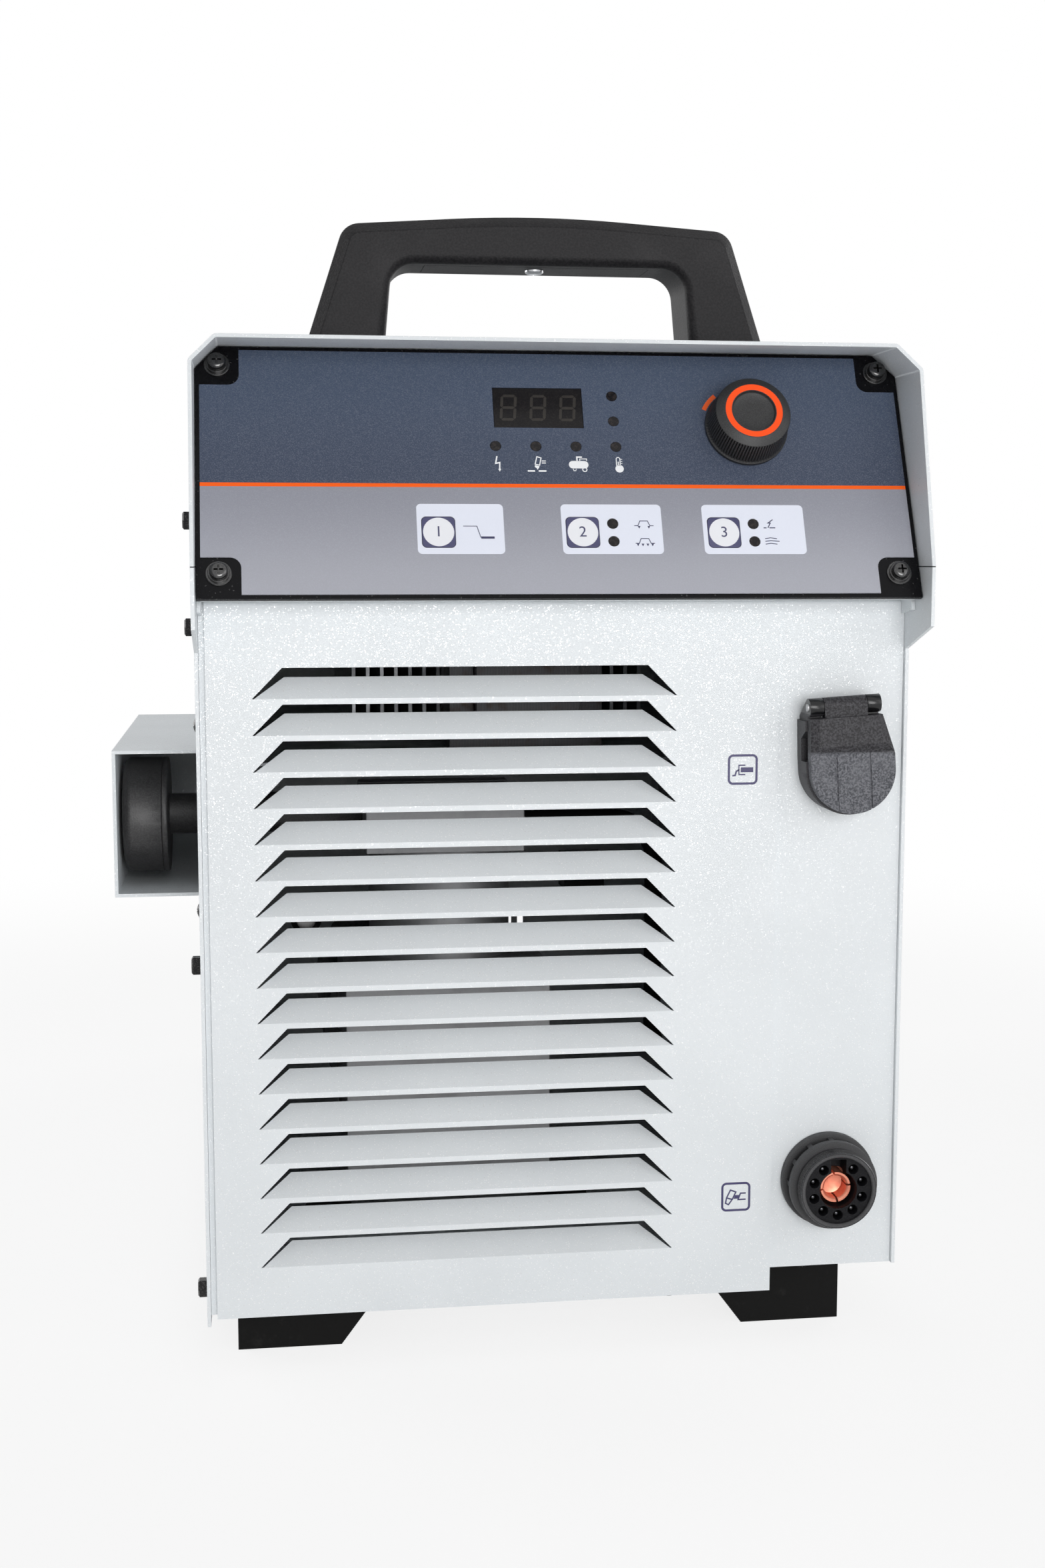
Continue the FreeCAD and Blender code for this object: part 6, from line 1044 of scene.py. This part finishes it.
def ring_body(profile, steps):
    """Closed ring about Z whose cross section is a loop of (radius, height) points."""
    body = bmesh.new()
    rows = []
    for angle in [math.tau * k / steps for k in range(steps)]:
        rows.append([body.verts.new((radius * math.cos(angle), radius * math.sin(angle), height))
                     for radius, height in profile])
    for k in range(steps):
        for n in range(len(profile)):
            body.faces.new((rows[k - 1][n - 1], rows[k][n - 1], rows[k][n], rows[k - 1][n]))
    return body


def flange_profile(radius, low, high):
    """Rim of a flange with softened corners, from its low side to its high side."""
    soft = radius - FLANGE_ROUNDING
    return [(soft, low), (radius, low + FLANGE_ROUNDING), (radius, high - FLANGE_ROUNDING), (soft, high)]


torch_shell = ([(BARREL_BORE, BARREL_BACK), (BARREL_RADIUS, BARREL_BACK), (BARREL_RADIUS, REAR_FLANGE[1])]
               + flange_profile(*REAR_FLANGE)
               + [(CORE_RADIUS, REAR_FLANGE[2]), (CORE_RADIUS, FRONT_FLANGE[1])]
               + flange_profile(*FRONT_FLANGE)
               + [(BARREL_RADIUS, FRONT_FLANGE[2]), (BARREL_RADIUS, -FLANGE_ROUNDING),
                  (BARREL_RADIUS - FLANGE_ROUNDING, 0.0), (BARREL_BORE + FLANGE_ROUNDING, 0.0),
                  (BARREL_BORE, -FLANGE_ROUNDING)])
nose_end = in_socket(NOSE_END)
torch_body = repeated(mesh_of(ring_body(torch_shell, steps=96)), [nose_end])
rib_depth = RIB_TOP - CORE_RADIUS + RIB_ROOT
rib = mesh_of(slab_mesh(rib_depth, RIB_WIDTH, REAR_FLANGE[2] - RIB_ROOT, FRONT_FLANGE[1] + RIB_ROOT))
rib_out = Matrix.Translation((RIB_TOP - rib_depth / 2, 0, 0))
for k in range(RIB_COUNT):
    turn = Matrix.Rotation(math.tau * k / RIB_COUNT, 4, "Z")
    add_copy(torch_body, rib, nose_end @ turn @ rib_out)
torch_nylon = moulded_black("torch_socket_nylon", (0.030, 0.030, 0.032), grain_size=0.0004,
                            grain_depth=0.00012, worn=(0.13, 0.13, 0.135))
new_piece("torch_socket_shell", torch_body, torch_nylon, replaces=["torch_socket_body"])
dress(torch_nylon, "torch_socket_nut", rounding=0.0003)
insert_plastic = moulded_black("socket_insert_plastic", (0.003, 0.003, 0.004), grain_size=0.0005,
                               roughness=0.3, grain_depth=0.00005, worn=(0.04, 0.04, 0.045), sheen=0.14)
dress(insert_plastic, "torch_socket_insert", rounding=0.00015)

copper = Finish("bare_copper")
tool_marks = copper.noise(0.0005, 3.0, 0.6, (1.0, 5.0, 1.0))
tarnish = copper.mask(copper.noise(0.004, 3.0), 0.45, 0.75)
copper_tone = copper.mix(tarnish * 0.5 + tool_marks * 0.15, (0.82, 0.32, 0.21), (0.55, 0.15, 0.10))
bare_copper = copper.surface(Base_Color=copper_tone, Metallic=0.75,
                             Roughness=0.32 + tool_marks * 0.12 + tarnish * 0.12,
                             Normal=copper.bump(tool_marks, 0.00003, 0.5))
dress(bare_copper, "torch_socket_contact", "work_socket_contact", rounding=0.0002)


# Thread of the torch socket. Shallow ridges of the same nylon, moulded round the nose and polished by the
# torches that are screwed on it.
RIDGE_FOOT = 16.05
RIDGE_TOP = 16.35
RIDGE_BASE = 15.6
RIDGE_PITCH = 1.3
RIDGE_COUNT = 4
FIRST_RIDGE = 0.5
RIDGE_SLOPE = 0.42
RIDGE_CREST = 0.20
ridge_profile = [(RIDGE_BASE, 0.0), (BARREL_RADIUS, 0.0)]
for k in range(RIDGE_COUNT):
    foot = -(FIRST_RIDGE + k * RIDGE_PITCH)
    crest = foot - RIDGE_SLOPE
    ridge_profile += [(RIDGE_FOOT, foot), (RIDGE_TOP, crest), (RIDGE_TOP, crest - RIDGE_CREST),
                      (RIDGE_FOOT, crest - RIDGE_CREST - RIDGE_SLOPE)]
ridge_profile.append((RIDGE_BASE, -(FIRST_RIDGE + RIDGE_COUNT * RIDGE_PITCH)))
polished_nylon = moulded_black("polished_nylon", (0.008, 0.008, 0.010), grain_size=0.0012, roughness=0.12,
                               grain_depth=0.00003, worn=(0.05, 0.05, 0.055))
new_piece("torch_socket_thread", repeated(mesh_of(ring_body(ridge_profile, steps=72)), [nose_end]),
          polished_nylon)


# Pins of the torch socket. Turned contacts of blackened steel with domed ends, pressed from behind into the
# holes of the insert.
PIN_FACE = -0.2620
PIN_CIRCLE = 10.7
PIN_RADIUS = 1.55
PIN_LENGTH = 10.3
PIN_POSITIONS = 10
PIN_DOME_STEPS = 6
dome = [(PIN_RADIUS * math.cos(angle), PIN_RADIUS * (math.sin(angle) - 1.0))
        for angle in [math.pi / 2 * k / PIN_DOME_STEPS for k in range(PIN_DOME_STEPS)]]
pin_end = mesh_of(turned([(0, -PIN_LENGTH), (PIN_RADIUS, -PIN_LENGTH)] + dome + [(0, 0.0)], steps=20))
places = []
for k in range(1, PIN_POSITIONS):
    angle = math.pi / 2 + math.tau * k / PIN_POSITIONS
    places.append(in_socket(PIN_FACE, PIN_CIRCLE * math.cos(angle), PIN_CIRCLE * math.sin(angle)))
black_steel = steel("blackened_contact", (0.07, 0.07, 0.075), 0.0004, (1.0, 1.0, 1.0), roughness=0.1)
new_piece("torch_socket_pins", repeated(pin_end, places), black_steel)


# Bottom of the torch contact's bore. The split sleeve is bored from solid copper bar, and the drill leaves a
# shallow cone a few millimetres down.
BORE_FLOOR = -0.2525
BORE_RADIUS = 4.76
CONE_DEPTH = 1.2
FLOOR_THICKNESS = 3.0
floor_shape = mesh_of(turned([(0, -FLOOR_THICKNESS), (BORE_RADIUS, -FLOOR_THICKNESS), (BORE_RADIUS, 0.0),
                              (0, -CONE_DEPTH)], steps=48))
new_piece("torch_contact_bore_floor", repeated(floor_shape, [in_socket(BORE_FLOOR)]), bare_copper)


# Work socket. A housing of grained charcoal plastic with polished hinge barrels, and a flip lid on a steel
# pin, which a coil spring holds shut over the copper contact.
HINGE_UP = 0.2655
POLISH_EDGE = 0.0005
shell = Finish("work_socket_plastic")
grain = shell.noise(0.0005, 2.0, 0.65)
barrel = shell.mask(shell.along(2), HINGE_UP, HINGE_UP + POLISH_EDGE)
grained = shell.mix(shell.mask(grain, 0.35, 0.7) * 0.3, (0.022, 0.021, 0.024), (0.13, 0.13, 0.14))
shell_tone = shell.mix(barrel, grained, (0.008, 0.008, 0.009))
dress(shell.surface(Base_Color=shell_tone, Roughness=0.44 + grain * 0.1 - barrel * 0.26,
                    Specular_IOR_Level=0.4, Normal=shell.bump(grain * (1.0 - barrel), 0.0002, 0.6)),
      "work_socket_body", rounding=0.0003)
LID_STEP_UP = 0.2492
LID_STEP_EDGE = 0.002
lid = Finish("work_socket_lid_plastic")
grain = lid.noise(0.0008, 2.0, 0.7)
rubbed = lid.mask(lid.noise(0.009, 3.0), 0.35, 0.7)
grit = lid.mask(grain, 0.36, 0.66)
# Above the step, the lid's raised block is coloured darker than the flat below it. This is painted shade on
# its face, not a darker plastic.
raised = lid.mask(lid.along(2), LID_STEP_UP, LID_STEP_UP + LID_STEP_EDGE)
flat_tone = lid.mix(grit, (0.034, 0.036, 0.044), (0.165, 0.168, 0.186))
rubbed_tone = lid.mix(rubbed * 0.3, flat_tone, (0.16, 0.163, 0.18))
raised_block_painted_shade = lid.mix(grit, (0.010, 0.009, 0.011), (0.060, 0.059, 0.065))
lid_tone = lid.mix(raised, rubbed_tone, raised_block_painted_shade)
dress(lid.surface(Base_Color=lid_tone, Roughness=0.46 + grain * 0.12, Specular_IOR_Level=0.3,
                  Normal=lid.bump(grain, 0.0003, 0.7)), "work_socket_lid", rounding=0.00045)
# The spring is a plain sleeve with its turns drawn on it: a bump, and a colour that goes dark between the
# turns. The dark is painted shade in the gaps between them.
COILS_PER_METRE = 7000.0
coil = Finish("spring_coils")
coil_turns_and_gap_shade = coil.maths("SINE", coil.along(0) * COILS_PER_METRE)
dress(coil.surface(Base_Color=coil.mix(coil_turns_and_gap_shade, (0.05, 0.05, 0.05), (0.5, 0.5, 0.51)), Metallic=1.0,
                   Roughness=0.3 + coil_turns_and_gap_shade * 0.05, Normal=coil.bump(coil_turns_and_gap_shade, 0.0003, 1.0)), "lid_spring")


# Fan. A frame and a rotor moulded in black plastic, screwed behind the rear sheet through a guard of welded,
# plated wire rings.
fan_plastic = moulded_black("fan_plastic", (0.014, 0.014, 0.015), grain_size=0.0009, roughness=0.46,
                            grain_depth=0.00008)
dress(fan_plastic, "fan_frame", "fan_rotor", rounding=0.0004)
plated_wire = steel("plated_wire", (0.60, 0.60, 0.62), 0.0012, (1.0, 1.0, 1.0), roughness=0.22)
dress(plated_wire, "fan_guard", rounding=0.0002)


# Mains switch. A moulded black body snapped into the rear sheet, and a rocker of the same plastic, printed
# with a white line for on and a ring for off.
switch_plastic = moulded_black("switch_plastic", (0.014, 0.014, 0.015), grain_size=0.0006, roughness=0.34,
                               grain_depth=0.00004)
dress(switch_plastic, "power_switch_body", "power_switch_rocker", rounding=0.0003)
ROCKER_MIDDLE = (0.109, 0.120)
MARK_RISE = 7.0
MARK_LEVEL = 0.03
BEHIND = 1.0
marks = bmesh.new()
for side in (1, -1):
    start = Vector((ROCKER_MIDDLE[0], BEHIND, ROCKER_MIDDLE[1] + side * MARK_RISE * MM))
    _, spot, normal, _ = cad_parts["power_switch_rocker"].ray_cast(start, -BACK)
    mark_place = metres(spot, -RIGHT, normal.cross(-RIGHT), normal)
    if side > 0:
        ribbon(marks, [(0.0, -2.0), (0.0, 2.0)], 0.7, MARK_LEVEL, mark_place)
    else:
        ribbon(marks, ring_points(0, 0, 1.8), 0.6, MARK_LEVEL, mark_place, closed=True)
new_piece("rocker_marks", marks, ink("white_switch_print", (0.80, 0.80, 0.80)),
          rides="rocker")


# Cable gland. A moulded black nylon body with a clamping cap, screwed into the rear sheet, where the mains
# cable comes in.
gland_nylon = moulded_black("gland_nylon", (0.016, 0.016, 0.017), grain_size=0.0006, roughness=0.45,
                            grain_depth=0.00008)
dress(gland_nylon, "cable_gland", rounding=0.0003)


# Shelf and heat sinks. A bridge bent from zinc-coated sheet stands over the compressor and carries the
# extruded aluminium fins of the power board.
zinc = Finish("zinc_coated_sheet")
spangle = zinc.cells(0.009)
zinc_tone = zinc.mix(spangle * 0.5, (0.42, 0.43, 0.45), (0.30, 0.31, 0.33))
dress(zinc.surface(Base_Color=zinc_tone, Metallic=0.85, Roughness=0.38 + spangle * 0.15,
                   Normal=zinc.bump(spangle, 0.00003, 0.3)), "shelf_bridge", rounding=0.0004)
fins = steel("extruded_aluminium", (0.60, 0.61, 0.63), 0.0012, (1.0, 0.05, 1.0), roughness=0.36)
dress(fins, "heat_sinks", rounding=0.0002)


# Capacitors. Aluminium cans in dark blue shrink sleeves that leave their tops bare, soldered to the power
# board.
SLEEVE_TOP = 0.3515
SLEEVE_EDGE = 0.0002
sleeve = Finish("capacitor_sleeve")
top = sleeve.mask(sleeve.along(2), SLEEVE_TOP, SLEEVE_TOP + SLEEVE_EDGE)
shrink = sleeve.noise(0.006, 2.0)
sleeve_tone = sleeve.mix(shrink * 0.4, (0.012, 0.016, 0.045), (0.020, 0.026, 0.070))
dress(sleeve.surface(Base_Color=sleeve.mix(top, sleeve_tone, (0.6, 0.6, 0.61)), Metallic=top,
                     Roughness=0.28 + shrink * 0.15, Normal=sleeve.bump(shrink, 0.0001, 0.3)),
      "capacitors", rounding=0.0006)


# Transformer. Iron laminations stacked round a varnished winding, with the rust that their cut edges gather,
# bolted to the pan.
LAYERS_PER_METRE = 9000.0
iron = Finish("laminated_iron")
layers = iron.maths("SINE", iron.along(0) * LAYERS_PER_METRE) * 0.5 + 0.5
rust = iron.mask(iron.noise(0.01, 4.0), 0.5, 0.75)
layer_tone = iron.mix(layers, (0.07, 0.07, 0.075), (0.13, 0.13, 0.135))
iron_tone = iron.mix(rust * 0.6, layer_tone, (0.10, 0.05, 0.025))
dress(iron.surface(Base_Color=iron_tone, Metallic=0.5, Roughness=0.45 + rust * 0.25,
                   Normal=iron.bump(layers, 0.0001, 0.6)), "transformer", rounding=0.0004)


# Compressor. A die-cast alloy crankcase and piston, and a painted motor on rubber mounts. A brass valve lets
# the air through to the torch.
cast = Finish("cast_alloy")
skin = cast.noise(0.0016, 4.0, 0.7)
soot = cast.mask(cast.noise(0.03, 3.0), 0.45, 0.8)
cast_tone = cast.mix(soot * 0.5 + skin * 0.2, (0.42, 0.42, 0.43), (0.22, 0.22, 0.225))
dress(cast.surface(Base_Color=cast_tone, Metallic=0.8, Roughness=0.48 + skin * 0.15,
                   Normal=cast.bump(skin, 0.00025, 0.7)), "compressor_crankcase", "compressor_piston",
      rounding=0.0006)
motor_paint = powder_coat("motor_paint", (0.030, 0.034, 0.040), (0.018, 0.020, 0.024), roughness=0.36,
                          sparkle_colour=(0.08, 0.085, 0.09))
dress(motor_paint, "compressor_motor", rounding=0.0005)
valve_brass = steel("valve_brass", (0.60, 0.44, 0.20), 0.0008, (1.0, 1.0, 5.0), roughness=0.28)
dress(valve_brass, "solenoid_valve", rounding=0.0003)
